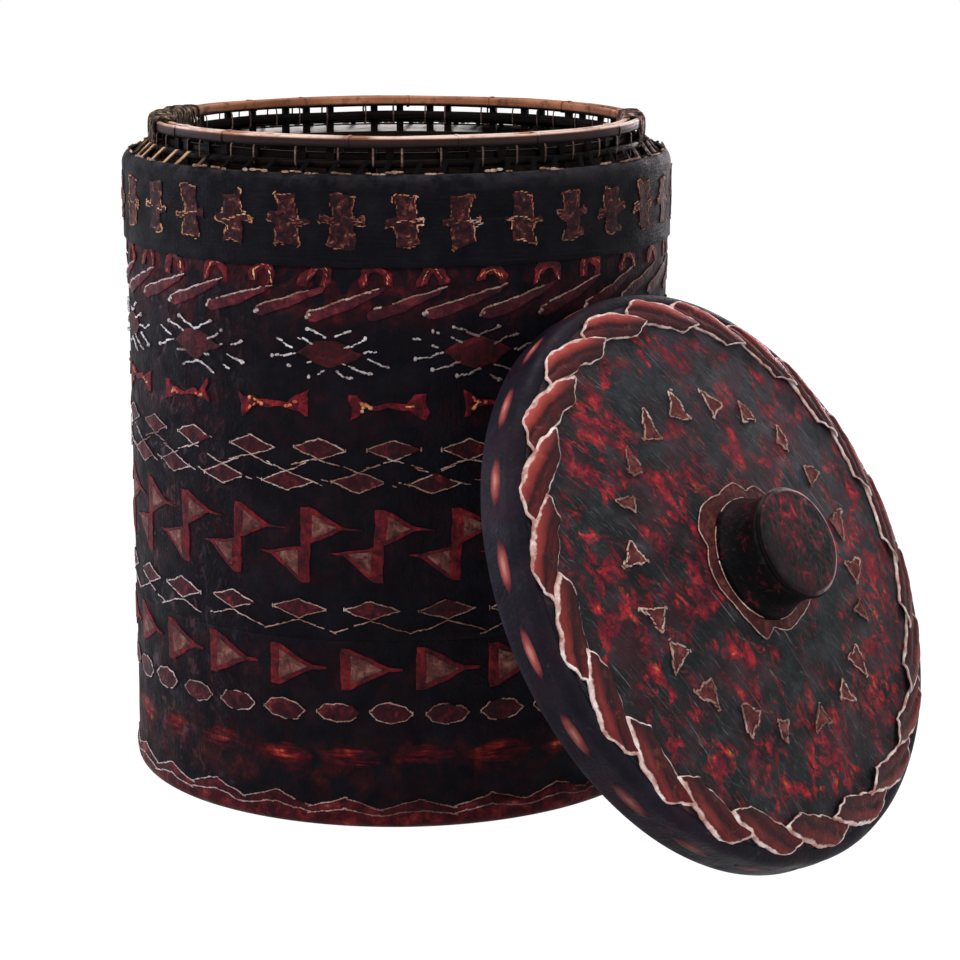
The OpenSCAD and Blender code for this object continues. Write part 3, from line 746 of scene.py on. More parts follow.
def cut_both_ways(shape, points, step):
    """Cuts a flat shape into small cells, so that it can bend and settle."""
    for axis in (0, 1):
        low, high = min(p[axis] for p in points), max(p[axis] for p in points)
        side = Vector((1, 0, 0) if axis == 0 else (0, 1, 0))
        for k in range(1, math.ceil((high - low) / step)):
            whole = shape.verts[:] + shape.edges[:] + shape.faces[:]
            place = side * (low + k * step)
            bmesh.ops.bisect_plane(shape, geom=whole, dist=1e-7, plane_co=place, plane_no=side)


def make_motif(name, outlines, low=-0.25, thick=0.55, inset=0.5, swell=0.12, step=3.5):
    """Flat leather patches, given as outlines in millimetres, with a low raised middle."""
    shape = bmesh.new()
    for outline in outlines:
        face = shape.faces.new([shape.verts.new((x * MM, y * MM, low * MM)) for x, y in outline])
        face.normal_update()
        if face.normal.z < 0:
            face.normal_flip()
        raised = bmesh.ops.extrude_face_region(shape, geom=[face])["geom"]
        tops = [part for part in raised if isinstance(part, bmesh.types.BMFace)]
        corners = [part for part in raised if isinstance(part, bmesh.types.BMVert)]
        bmesh.ops.translate(shape, verts=corners, vec=(0, 0, thick * MM))
        face.normal_flip()
        bmesh.ops.inset_region(
            shape, faces=tops, thickness=inset * MM, depth=swell * MM, use_even_offset=True
        )
    cut_both_ways(shape, [(x * MM, y * MM) for outline in outlines for x, y in outline], step * MM)
    bmesh.ops.recalc_face_normals(shape, faces=shape.faces)
    return bpy.data.objects.new(name, mesh_of(name, shape))


def make_lines(name, lines, lift, gap=0.8):
    """Lines in millimetres for stitches to follow, with close points so that no stitch cuts a corner."""
    points, edges = [], []
    for line in lines:
        start = len(points)
        for (x0, y0), (x1, y1) in zip(line, line[1:]):
            steps = max(1, round(math.hypot(x1 - x0, y1 - y0) / gap))
            points += [(x0 + (x1 - x0) * k / steps, y0 + (y1 - y0) * k / steps, lift) for k in range(steps)]
        ring = line[0] == line[-1]
        if not ring:
            points.append((*line[-1], lift))
        edges += [(k, k + 1) for k in range(start, len(points) - 1)]
        if ring:
            edges.append((len(points) - 1, start))
    mesh = bpy.data.meshes.new(name)
    mesh.from_pydata([(x * MM, y * MM, z * MM) for x, y, z in points], edges, [])
    return bpy.data.objects.new(name, mesh)


def make_stitch():
    """One stitch, a metre long and two wide until it is scaled."""
    rings = ((-0.5, 0.5), (-0.26, 1.0), (0.26, 1.0), (0.5, 0.5))
    sides = 6
    points, faces = [], []
    for x, r in rings:
        points += [(x, r * math.cos(TURN * k / sides), r * math.sin(TURN * k / sides)) for k in range(sides)]
    for start in range(0, sides * (len(rings) - 1), sides):
        for k in range(sides):
            m = (k + 1) % sides
            faces.append((start + sides + k, start + sides + m, start + m, start + k))
    last = sides * (len(rings) - 1)
    faces += [tuple(reversed(range(sides))), tuple(range(last, last + sides))]
    mesh = bpy.data.meshes.new("stitch")
    mesh.from_pydata(points, [], faces)
    mesh.shade_smooth()
    return bpy.data.objects.new("stitch", mesh)


# Geometry Nodes: rows of patches and their stitched edging, laid on the wall or on the dome

ROW_INPUTS = (
    ("Motif", "NodeSocketObject", None),
    ("Lines", "NodeSocketObject", None),
    ("Stitch", "NodeSocketObject", None),
    ("Count", "NodeSocketInt", 24),
    ("Turn", "NodeSocketFloat", 0.0),
    ("Radius", "NodeSocketFloat", WALL_R),
    ("Height", "NodeSocketFloat", 0.0),
    ("Wander", "NodeSocketFloat", 0.0008),
    ("Rise", "NodeSocketFloat", 0.0005),
    ("Lean", "NodeSocketFloat", 0.04),
    ("Spread", "NodeSocketFloat", 0.05),
    ("Seed", "NodeSocketInt", 1),
    ("Crumple", "NodeSocketFloat", 0.0016),
    ("Ripple", "NodeSocketFloat", 0.2),
    ("Spacing", "NodeSocketFloat", 0.0016),
    ("Thread", "NodeSocketFloat", 0.0003),
    ("Worn", "NodeSocketFloat", 0.4),
    ("Leather", "NodeSocketMaterial", None),
    ("Edging", "NodeSocketMaterial", None),
)

# Past this reach the dome's rows bend down over its edge
EDGE_BEND_R, EDGE_BEND = 129.5 * MM, -55.0


class Tree(Nodes):
    """A Geometry Nodes tree in the making."""

    def __init__(self, name, inputs):
        super().__init__(bpy.data.node_groups.new(name, "GeometryNodeTree"))
        sockets = self.tree.interface
        for label, kind, value in inputs:
            socket = sockets.new_socket(label, in_out="INPUT", socket_type=kind)
            if value is not None:
                socket.default_value = value
        sockets.new_socket("Geometry", in_out="OUTPUT", socket_type="NodeSocketGeometry")
        self.inlet = self.tree.nodes.new("NodeGroupInput")
        self.outlet = self.tree.nodes.new("NodeGroupOutput")

    def given(self, label):
        return self.inlet.outputs[label]

    def chance(self, low, high, shift):
        seed = self.plus(self.given("Seed"), float(shift))
        return self.add("FunctionNodeRandomValue", {2: low, 3: high, 8: seed}, output=1)

    def swing(self, label, shift):
        """A random share of an input, either way."""
        return self.times(self.chance(-1.0, 1.0, shift), self.given(label))

    def drift(self, scale, detail, output):
        """Noise over the place, which the seed changes."""
        inputs = {"Vector": self.add("GeometryNodeInputPosition"), "W": self.given("Seed")}
        inputs |= {"Scale": scale, "Detail": detail}
        return self.add("ShaderNodeTexNoise", inputs, output=output, noise_dimensions="4D")

    def shape(self, label):
        return self.add("GeometryNodeObjectInfo", {"Object": self.given(label)}, output="Geometry")

    def copies(self, points, shape, turn, size):
        inputs = {"Points": points, "Instance": shape, "Rotation": turn, "Scale": size}
        placed = self.add("GeometryNodeInstanceOnPoints", inputs)
        return self.add("GeometryNodeRealizeInstances", {"Geometry": placed})

    def move(self, geometry, **how):
        return self.add("GeometryNodeSetPosition", {"Geometry": geometry, **how})

    def paint(self, geometry, label):
        return self.add("GeometryNodeSetMaterial", {"Geometry": geometry, "Material": self.given(label)})

    def close(self, geometry):
        self.feed(self.outlet.inputs[0], geometry)
        return self.tree


def lay_on_wall(t, geometry):
    x, y, z = t.split(t.add("GeometryNodeInputPosition"))
    angle = t.math("DIVIDE", x, t.given("Radius"))
    reach = t.plus(t.given("Radius"), z)
    right = t.times(reach, t.math("SINE", angle))
    front = t.times(reach, t.times(t.math("COSINE", angle), -1.0))
    return t.move(geometry, Position=t.join(right, front, t.plus(y, t.given("Height"))))


def lay_on_dome(t, geometry):
    x, y, z = t.split(t.add("GeometryNodeInputPosition"))
    angle = t.math("DIVIDE", x, t.given("Radius"))
    reach = t.plus(t.given("Radius"), y)
    ball = t.math("SQRT", t.minus(DOME_BALL**2, t.times(reach, reach)))
    over = t.math("MAXIMUM", t.minus(reach, EDGE_BEND_R), 0.0)
    up = t.plus(ball, DOME_CREST - DOME_BALL, t.times(over, over, EDGE_BEND), t.plus(z, t.given("Height")))
    place = t.join(t.times(reach, t.math("COSINE", angle)), t.times(reach, t.math("SINE", angle)), up)
    return t.move(geometry, Position=place)


def row_tree(name, lay):
    t = Tree(name, ROW_INPUTS)
    step = t.plus(t.add("GeometryNodeInputIndex"), t.given("Turn"))
    along = t.times(t.math("DIVIDE", step, t.given("Count")), TURN, t.given("Radius"))
    place = t.join(t.plus(along, t.swing("Wander", 1)), t.swing("Rise", 2), 0.0)
    spots = t.add("GeometryNodePoints", {"Count": t.given("Count"), "Position": place})
    lean = t.join(0.0, 0.0, t.swing("Lean", 3))
    growth = t.plus(1.0, t.swing("Spread", 4))
    size = t.join(growth, growth, 1.0)

    def settle(geometry):
        """Moves flat outlines a little, the same way for a patch and for its edging."""
        parts = t.split(t.drift(120.0, 4.0, 1))
        x, y, z = (t.times(t.minus(part, 0.5), t.given("Crumple")) for part in parts)
        offset = t.join(t.times(x, 2.0), t.times(y, 2.0), t.times(z, t.given("Ripple")))
        return t.move(geometry, Offset=offset)

    patches = t.paint(lay(t, settle(t.copies(spots, t.shape("Motif"), lean, size))), "Leather")

    # Stitches along the lines, some worn away and all a little loose
    lines = t.add("GeometryNodeMeshToCurve", {"Mesh": t.copies(spots, t.shape("Lines"), lean, size)})
    dotted = t.tree.nodes.new("GeometryNodeCurveToPoints")
    dotted.mode = "LENGTH"
    t.feed(dotted.inputs["Curve"], lines)
    t.feed(dotted.inputs["Length"], t.given("Spacing"))
    wear = t.drift(75.0, 3.0, 0)
    gone = t.add("FunctionNodeCompare", {0: wear, 1: t.given("Worn")}, operation="LESS_THAN")
    kept = t.add("GeometryNodeDeleteGeometry", {"Geometry": dotted.outputs["Points"], "Selection": gone})
    loose = t.join(t.chance(-0.00012, 0.00012, 5), t.chance(-0.00012, 0.00012, 6), 0.0)
    kept = settle(t.move(kept, Offset=loose))
    turn = t.add("FunctionNodeAlignRotationToVector", {"Vector": dotted.outputs["Tangent"]}, axis="X")
    thick = t.times(t.given("Thread"), t.chance(0.6, 1.45, 7))
    long = t.times(t.given("Spacing"), t.chance(0.95, 1.5, 8))
    sewn = t.copies(kept, t.shape("Stitch"), turn, t.join(long, thick, t.times(thick, 0.8)))
    sewn = t.paint(lay(t, sewn), "Edging")

    both = t.tree.nodes.new("GeometryNodeJoinGeometry")
    t.feed(both.inputs[0], sewn)
    t.feed(both.inputs[0], patches)
    return t.close(both.outputs[0])


def bake(name, tree, values, place=None):
    """Runs a tree on an empty piece, keeps the result as a plain mesh and clears the helpers away."""
    piece = bpy.data.objects.new(name, bpy.data.meshes.new(name))
    modifier = piece.modifiers.new("row", "NODES")
    modifier.node_group = tree
    for item in tree.interface.items_tree:
        if item.in_out == "INPUT" and item.name in values:
            modifier[item.identifier] = values[item.name]
    scene.collection.objects.link(piece)
    graph = bpy.context.evaluated_depsgraph_get()
    shown = piece.evaluated_get(graph)
    mesh = bpy.data.meshes.new_from_object(shown, preserve_all_data_layers=True, depsgraph=graph)
    piece.modifiers.clear()
    piece.data = mesh
    if place:
        mesh.transform(place)
    mesh.update()
    for label in ("Motif", "Lines"):
        if label in values:
            bpy.data.objects.remove(values[label])
    return piece


def dress(piece, body, node=None):
    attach(piece, body)
    if node:
        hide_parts(node)


def dress_lid(piece, node):
    """Puts a piece that was made upright where the lid leans."""
    piece.data.transform(LID)
    dress(piece, "lid", node)


# Finishes of the box

LEATHER = wall_leather()
BAND = band_leather()
PATCH = patch_leather(
    "patch_leather",
    (0.30, 0.006, 0.002, 0.004), (0.5, 0.030, 0.004, 0.007),
    (0.62, 0.085, 0.009, 0.013), (0.74, 0.26, 0.045, 0.035),
    painted_shade_right=0.4,
)
ROSE = patch_leather(
    "rose_leather",
    (0.28, 0.012, 0.002, 0.005), (0.5, 0.060, 0.007, 0.013), (0.72, 0.20, 0.030, 0.036),
    scale=130, painted_shade_right=0.6,
)
FLAME = patch_leather(
    "flame_leather",
    (0.3, 0.014, 0.002, 0.004), (0.5, 0.075, 0.006, 0.010), (0.74, 0.23, 0.017, 0.017),
    scale=150,
)
ARCH = patch_leather(
    "arch_leather",
    (0.34, 0.012, 0.002, 0.004), (0.51, 0.060, 0.005, 0.009),
    (0.65, 0.21, 0.014, 0.018), (0.77, 0.60, 0.12, 0.06),
    scale=200,
)
BOW = patch_leather(
    "bow_leather",
    (0.34, 0.014, 0.002, 0.004), (0.50, 0.085, 0.005, 0.010),
    (0.65, 0.25, 0.013, 0.018), (0.77, 0.62, 0.12, 0.05),
    scale=150,
)
STAR = patch_leather(
    "star_leather",
    (0.34, 0.008, 0.002, 0.003), (0.52, 0.036, 0.004, 0.006), (0.74, 0.11, 0.010, 0.013),
    scale=110,
)
CROSS = patch_leather(
    "cross_leather",
    (0.36, 0.003, 0.002, 0.003), (0.50, 0.021, 0.004, 0.006),
    (0.60, 0.072, 0.015, 0.014), (0.70, 0.34, 0.16, 0.10),
    scale=330,
)
FOOT = patch_leather(
    "foot_leather",
    (0.34, 0.010, 0.002, 0.004), (0.5, 0.045, 0.005, 0.008),
    (0.62, 0.13, 0.013, 0.016), (0.74, 0.34, 0.07, 0.05),
    scale=110, specular=0.06,
)
TAN = patch_leather(
    "tan_leather",
    (0.28, 0.030, 0.009, 0.009), (0.5, 0.105, 0.036, 0.030), (0.72, 0.28, 0.13, 0.10),
    scale=170,
)
PALE = thread(
    "pale_thread",
    (0.3, 0.22, 0.08, 0.05), (0.5, 0.34, 0.20, 0.155), (0.68, 0.56, 0.44, 0.39),
    lit=0.45, shaded_right=0.35,
)
WHITE = thread(
    "white_thread",
    (0.3, 0.36, 0.27, 0.25), (0.5, 0.55, 0.48, 0.46), (0.68, 0.72, 0.68, 0.68),
    shaded_right=0.7,
)
LEDGE_THREAD = thread(
    "ledge_thread",
    (0.34, 0.10, 0.040, 0.025), (0.5, 0.32, 0.19, 0.13), (0.68, 0.62, 0.52, 0.46),
)
RUST = thread(
    "rust_thread",
    (0.36, 0.060, 0.014, 0.010), (0.48, 0.26, 0.075, 0.040),
    (0.56, 0.50, 0.22, 0.11), (0.68, 0.66, 0.46, 0.34),
    lit=0.65, glow=(0.78, 0.42, 0.20),
)
BONE = thread(
    "bone_thread",
    (0.3, 0.38, 0.34, 0.33), (0.5, 0.55, 0.51, 0.50), (0.68, 0.75, 0.73, 0.74),
    lit=0.6, shaded_right=0.85,
)
# Orange thread for the arches and bows, laid as painted glints
GLINT_THREAD = thread(
    "ember_thread",
    (0.34, 0.30, 0.025, 0.025), (0.48, 0.60, 0.14, 0.07), (0.60, 0.88, 0.46, 0.17), (0.70, 0.92, 0.74, 0.45),
)
# The rim cane carries a painted highlight and painted shade on the near rim
RIM_CANE = cane_finish(
    "rim_cane", 0.1, (0.54, 0.235, 0.12), (0.34, 0.13, 0.062), (0.13, 0.043, 0.020), worn=True
)
CANE = cane_finish(
    "collar_cane", 0.03, (0.013, 0.007, 0.006), (0.005, 0.003, 0.0028), (0.0015, 0.001, 0.001)
)
TIE = cane_finish("tie_cane", 0.1, (0.30, 0.20, 0.155), (0.095, 0.058, 0.045), (0.025, 0.014, 0.011))
GOLD_TIE = patch_leather(
    "splice_cane",
    (0.36, 0.002, 0.0015, 0.001), (0.48, 0.016, 0.010, 0.007),
    (0.56, 0.12, 0.072, 0.038), (0.66, 0.55, 0.38, 0.23),
    scale=260,
)
WORN_TIE = patch_leather(
    "worn_splice_cane",
    (0.36, 0.006, 0.003, 0.003), (0.48, 0.040, 0.020, 0.016),
    (0.56, 0.17, 0.095, 0.070), (0.66, 0.58, 0.42, 0.34),
    scale=240,
)
LACE = lace_finish()
LEDGE_STRAW = straw_finish("ledge_straw", (0.009, 0.006, 0.005), (0.002, 0.0015, 0.0012), painted_gap_light=True)
STRAW = straw_finish("coil_straw", (0.009, 0.006, 0.005), (0.002, 0.0015, 0.0012))
LINING = straw_finish("inner_straw", (0.026, 0.017, 0.012), (0.007, 0.0045, 0.0035))

# Finishes of the lid

LID_PALE = thread(
    "lid_pale_thread",
    (0.3, 0.34, 0.15, 0.10), (0.5, 0.52, 0.34, 0.27), (0.68, 0.74, 0.60, 0.54),
    on_lid=True,
)
FRILL = patch_leather(
    "frill_leather",
    (0.28, 0.014, 0.004, 0.005), (0.5, 0.055, 0.012, 0.012), (0.74, 0.19, 0.050, 0.042),
    on_lid=True, scale=130,
)
LID_PATCH = patch_leather(
    "lid_patch_leather",
    (0.25, 0.03, 0.007, 0.008), (0.5, 0.10, 0.022, 0.021), (0.72, 0.26, 0.085, 0.075),
    on_lid=True, scale=170,
)
LID_BLACK = lid_leather()
SIDE_LOOK = {
    "stops": ((0.25, 0.0015, 0.0010, 0.0030), (0.5, 0.0042, 0.0030, 0.0070), (0.8, 0.012, 0.009, 0.017)),
    "tinge": (0.022, 0.004, 0.010),
    "specular": 0.085,
}
LID_SIDE_BLACK = lid_side_leather("lid_side_leather", **SIDE_LOOK)
SPOT = spot_leather(**SIDE_LOOK)
KNOB_BLACK = lid_side_leather(
    "knob_leather",
    ((0.25, 0.001, 0.001, 0.0015), (0.5, 0.0025, 0.0025, 0.003), (0.8, 0.007, 0.006, 0.007)),
    (0.022, 0.003, 0.005), 0.05, fleck=(0.13, 0.008, 0.016),
)
STRIP = strip_leather()
KNOB_RED = knob_top_leather()
KNOB_CORD = knob_edge_leather()
TIMBER = timber_finish()

ON_WALL = row_tree("wall_row", lay_on_wall)
ON_DOME = row_tree("dome_row", lay_on_dome)
STITCH = make_stitch()


# The box


def wall_row(
    name, node, row, leather, outlines=None, lines=None, edging=PALE,
    radius=WALL_R, slot="red_leather", **more,
):
    """One row of patches on the box, with its edging; more sets other inputs of the tree."""
    height, count, turn, seed = row
    values = {"Height": height * MM, "Count": count, "Turn": turn, "Seed": seed, "Radius": radius}
    values |= {"Stitch": STITCH, "Leather": leather, "Edging": edging, **more}
    if outlines:
        values["Motif"] = make_motif(name + "_motif", outlines)
    if lines:
        values["Lines"] = make_lines(name + "_lines", lines, WALL_STITCH_LIFT)
    dress(bake(name, ON_WALL, values), "box", node)


def closed(outline):
    return [*outline, outline[0]]


def sag(angle, r, z):
    """Shallow unevenness of the leather on the wall, with a slight swell above the foot."""
    slow = wander_round(angle, 2.0, z * 18)
    fine = wander_round(angle, 9.0, z * 70 + 5)
    swell = max(0.0, min(1.0, (58 * MM - z) / (30 * MM)))
    return (0.45 * swell - 0.22 + 0.18 * slow + 0.12 * fine) * MM, 0.0


def clothe_wall():
    gap = 0.05 * MM
    for node, low, high, rows in (
        ("upper_cover", SEAM + gap, COVER_TOP, 70),
        ("lower_cover", COVER_LOW, SEAM - gap, 34),
    ):
        skin = lathe(node + "_skin", wall_section(low, high, rows), WALL_STEPS, LEATHER, sag)
        dress(skin, "box", node)


def bind_shoulder():
    """The proud band below the ledge, with a ragged lower edge and its upper edge bent inwards."""

    def ragged(angle, r, z):
        low = max(0.0, 1 - (z - BAND_LOW) / (6 * MM))
        return sag(angle, r, z)[0] + 0.18 * MM, 0.9 * MM * low * wander_round(angle, 12, 3.0)

    lip, rows, bend = 0.4 * MM, 18, 56
    tall, inner = BAND_BEND - BAND_LOW - lip, SHOULDER - (BAND_R - BAND_IN)
    section = [(BAND_R - lip, BAND_LOW)]
    section += [(BAND_R, BAND_LOW + lip + tall * k / rows) for k in range(rows)]
    section += arc(BAND_R - SHOULDER, BAND_BEND, SHOULDER, SHOULDER, 0, bend, 7)
    section += arc(BAND_R - SHOULDER, BAND_BEND, inner, inner, bend, 0, 7)
    section.append((BAND_IN, BAND_LOW))
    dress(lathe("shoulder_skin", section, WALL_STEPS, BAND, ragged), "box", "shoulder_band")


def foot_wave(angle):
    """Height of the foot band's upper edge at a bearing."""
    step = angle * FOOT_WAVES / TURN - FOOT_TURN
    peak = 1 - 2 * abs(step - math.floor(step + 0.5))
    return FOOT_TOP - FOOT_DIP * (1 - peak)


def bind_foot():
    base, rows = FOOT_LIFT + FOOT_ROUND, 9

    def follow_wave(angle, r, z):
        """Draws the straight part of the section up or down to the zigzag edge."""
        if z <= base:
            return 0.0, 0.0
        top = foot_wave(angle) + 0.4 * MM * wander_round(angle, 14, 2.0)
        share = min(1.0, (z - base) / (FOOT_TOP - base))
        return 0.0, base + (top - base) * share + max(0.0, z - FOOT_TOP) - z

    section = [(FOOT_IN, FOOT_LIFT + FOOT_THICK), (FOOT_IN, FOOT_LIFT)]
    section += arc(FOOT_R - FOOT_ROUND, base, FOOT_ROUND, FOOT_ROUND, -90, 0, 6)
    for k in range(rows):
        taper = max(0.0, k / (rows - 1) - 0.55) / 0.45
        section.append((FOOT_R - 0.7 * MM * taper, base + (FOOT_TOP - base) * (k + 1) / rows))
    section += [(FOOT_R - 0.85 * MM, FOOT_TOP + 0.1 * MM), (FOOT_R - 0.95 * MM, FOOT_TOP + 0.1 * MM)]
    section.append((FOOT_R - 0.95 * MM, base))
    inner = FOOT_ROUND - FOOT_THICK
    section += arc(FOOT_R - FOOT_ROUND, base, inner, inner, -15, -90, 3)
    band = lathe("foot_band_skin", section, 24 * FOOT_WAVES, FOOT, follow_wave)
    dress(band, "box", "foot_band")


def edge_foot():
    """Two zigzag lines of thread on the foot band."""
    pitch = TURN * FOOT_R / FOOT_WAVES / MM
    wave = [(-pitch / 2, -5.3), (-pitch / 4, -2.7), (0, 0.0), (pitch / 4, -2.7), (pitch / 2, -5.3)]
    low = [(x, y * 0.55 - 5.2) for x, y in wave]
    even = {"Worn": 0.36, "Spread": 0.0, "Lean": 0.0, "Wander": 0.0002}
    for name, line, inset in (("foot_edging", wave, 0.75 * MM), ("foot_line", low, 0.1 * MM)):
        wall_row(name, None, FOOT_LINES, ROSE, lines=[line], radius=FOOT_R - inset, **even)


def sew_crosses():
    cross = [
        (-5.4, -11.0), (5.6, -11.0), (4.9, -5.5), (4.6, -1.7),
        (9.6, -1.5), (9.4, 1.7), (4.7, 2.0), (4.5, 6.2),
        (5.3, 11.0), (-5.2, 11.0), (-4.6, 6.0), (-4.8, 2.0),
        (-9.4, 1.9), (-9.6, -1.3), (-4.8, -1.7), (-4.7, -5.8),
    ]
    lines = [closed(cross), [(-9, 0.2), (9, 0.2)]]
    loose = {"Worn": 0.49, "Wander": 0.0015, "Lean": 0.07, "Crumple": 0.006}
    wall_row("cross_row", "cross_patches", CROSSES, CROSS, [cross], lines, RUST, BAND_R, **loose)


def sew_arches():
    horseshoe = arc(0, -2.0, 7.4, 9.4, -8, 188, 14) + arc(0, -2.0, 3.6, 5.2, 188, -8, 10)
    # The middle line is orange thread that paints glints along the horseshoe
    lines = [arc(0, -2.0, 5.4, 7.2, 0, 180, 8)]
    loose = {"Worn": 0.47, "Wander": 0.0015, "Lean": 0.1, "Crumple": 0.006}
    wall_row("arch_row", "scallop_patches", ARCHES, ARCH, [horseshoe], lines, GLINT_THREAD, **loose)


def sew_slants():
    slant = [
        (-17.8, -6.6), (-16.8, -9.0), (-14.0, -9.4), (0, -4.6),
        (16.0, 3.0), (18.8, 6.4), (8, 3.0), (-16.8, -4.8),
    ]
    lines = [[(-18.0, -7.2), (-17.0, -4.9), (-8, -2.0), (8, 3.0), (18.8, 6.4)]]
    wall_row("slant_row", "slant_patches", SLANTS, ROSE, [slant], lines, Worn=0.41, Thread=0.00042)
    bead = [[(-17.9, -7.4), (-16.6, -6.4)]]
    wall_row("slant_beads", None, SLANTS, PATCH, None, bead, WHITE, Worn=0.48, Spacing=0.0011, Thread=0.0008)


def sew_stars():
    blot = [(-15.5, 0), (-8.5, 4.4), (0, 6.9), (8.5, 4.6), (15.5, 0.4), (8.5, -4.6), (0, -7.2), (-8.5, -4.5)]
    arms = [
        [(-11, 10.8), (-0.5, 6.9)], [(9.4, 10.8), (0.5, 6.9)], [(-19.3, 8.8), (-8.2, 4.3)],
        [(-28.3, 5.3), (-18.5, 2.6)], [(-27.5, -3.5), (-16.6, -0.6)], [(-19.7, -7.6), (-7.8, -4.4)],
        [(-8.2, -11.1), (0.4, -7.4)], [(10.7, -12), (0.6, -7.4)], [(20, -9.3), (7.4, -5.2)],
        [(28.3, -5.6), (18.5, -2.4)], [(17.6, 7.6), (8.2, 3.4)], [(28.3, 4.2), (16.8, 0.9)],
    ]
    beads = [[(x - 0.5, y), (x + 0.5, y)] for (x, y), _ in arms]
    loose = {"Wander": 0.002, "Crumple": 0.003}
    wall_row("star_row", "star_patches", STARS, STAR, [blot], arms, BONE, Worn=0.43, Thread=0.00045, **loose)
    thick = {"Worn": 0.40, "Spacing": 0.0012, "Thread": 0.0008}
    wall_row("star_beads", None, STARS, PATCH, None, beads, WHITE, **thick, **loose)


def sew_bows():
    half = [(-18, -6.2), (-9, -1.6), (0, -0.9), (9, -1.6), (18, -6.2), (16.6, 0)]
    bow = half + [(-x, -y) for x, y in half]
    # The short lines are orange thread that paints glints at the bow's points
    lines = [[(-12.5, 2.2), (-9.5, 0.3), (-12, -2.2)], [(-9, 0), (-7, -0.2)], [(8.6, 0.2), (12, 0.4)]]
    loose = {"Worn": 0.42, "Wander": 0.002, "Thread": 0.0007, "Lean": 0.08, "Crumple": 0.006}
    wall_row("bow_row", "bow_patches", BOWS, BOW, [bow], lines, GLINT_THREAD, **loose)


def diamond(wide, tall):
    return [(-wide, 0), (0, -tall), (wide, 0), (0, tall)]


def sew_diamonds():
    """Two rows that make a net with their whiskers, and a third one lower down."""
    patch = diamond(12.5, 4.8)
    net = [[(-12, -8.2), (0, -4.8), (12, -8.2)]]
    wall_row("diamond_row", "diamond_patches", DIAMONDS, PATCH, [patch], [closed(patch), *net])
    whiskers = [[(-16.5, 1.0), (-12.5, 0)], [(12.5, 0), (16.5, -1.2)], [(-9, 8.2), (0, 4.8), (9, 8.2)]]
    wall_row("diamond_row_low", None, NEXT_DIAMONDS, PATCH, [patch], [closed(patch), *whiskers])
    slim = diamond(13.5, 4.7)
    wall_row(
        "low_diamond_row", "low_diamond_patches", LOW_DIAMONDS, PATCH, [slim],
        [closed(slim), [(-17.4, -11), (0, -5.4), (17.4, -11)]],
    )


def sew_triangles():
    """The paired triangles and the single ones, each with a tan inlay."""
    pair = [
        (-2.2, -17.5), (2.2, -17.5), (2.2, 0.5), (17, 7.8), (27, 8.2), (17, 9.5),
        (2.2, 17.5), (-2.2, 17.5), (-2.2, -1.0), (-17, -3.9), (-23, -4.6), (-17, -5.6),
    ]
    pair_inlays = [[(3.4, 3.0), (14.5, 8.5), (3.4, 14)], [(-3.4, -2.8), (-14.5, -4.8), (-3.4, -14.5)]]
    flag = [
        (-13.5, -10), (-9.3, -10), (8.5, -1.0), (15.5, -0.6),
        (15.5, 0.5), (8.5, 1.0), (-9.3, 10), (-13.5, 10),
    ]
    flag_inlay = [[(-9.0, -7), (6, 0), (-9.0, 7)]]
    loose = {"Wander": 0.0012, "Lean": 0.05}
    for kind, row, patch, inlays in (
        ("pair", PAIRS, pair, pair_inlays),
        ("triangle", TRIANGLES, flag, flag_inlay),
    ):
        wall_row(kind + "_row", kind + "_patches", row, FLAME, [patch], **loose)
        motif = make_motif(kind + "_inlay_motif", inlays, 0.1, 0.45)
        wall_row(kind + "_inlays", None, row, TAN, slot="pale_cane", Motif=motif, **loose)


def sew_ovals():
    oval = [(-10.2, 0), (-6.5, -3.7), (0, -4.9), (6.5, -3.7), (10.2, 0), (6.5, 3.7), (0, 4.9), (-6.5, 3.7)]
    wall_row("oval_row", "oval_patches", OVALS, PATCH, [oval], [closed(oval)])


def sew_ledge():
    loose = {"Worn": 0.46, "Spacing": 0.0026, "Thread": 0.00058, "Wander": 0.005}
    wall_row(
        "ledge_stitches", None, LEDGE_EDGE, PATCH, None, [[(-3.0, 0), (3.0, 0)]], LEDGE_THREAD,
        radius=131.3 * MM, slot="pale_cane", **loose,
    )


def bend_hoops():
    """The collar's hoops, each with knots and a little wander."""

    def cane(seed, amount):
        def move(angle, r, z):
            knot = 0.7 * MM * max(0.0, wander_round(angle, 5.5, seed) - 0.35)
            aside = amount * MM * wander_round(angle, 2.2, seed + 7)
            return aside + knot, amount * MM * wander_round(angle, 2.6, seed + 3)

        return move

    # Inner and outer radius, lower and upper edge and wander in millimetres
    for node, r_in, r_out, low, high, finish, seed, amount in (
        ("collar_rim_outer", 117.4, 120.5, 318.2, 323.4, RIM_CANE, 1.3, 0.45),
        ("collar_rim_inner", 111.9, 115.1, 318.2, 323.4, RIM_CANE, 2.3, 0.45),
        ("collar_mid_outer", 117.4, 120.4, 309.2, 312.9, CANE, 3.3, 0.5),
        ("collar_mid_inner", 111.9, 115.0, 310.8, 315.8, CANE, 4.3, 0.5),
        ("collar_low_hoop", 117.4, 120.4, 300.6, 305.6, LEDGE_STRAW, 5.3, 0.3),
    ):
        section = hoop_section(r_in * MM, r_out * MM, low * MM, high * MM, 1.3 * MM)
        dress(lathe(node + "_cane", section, HOOP_STEPS, finish, cane(seed, amount)), "box", node)


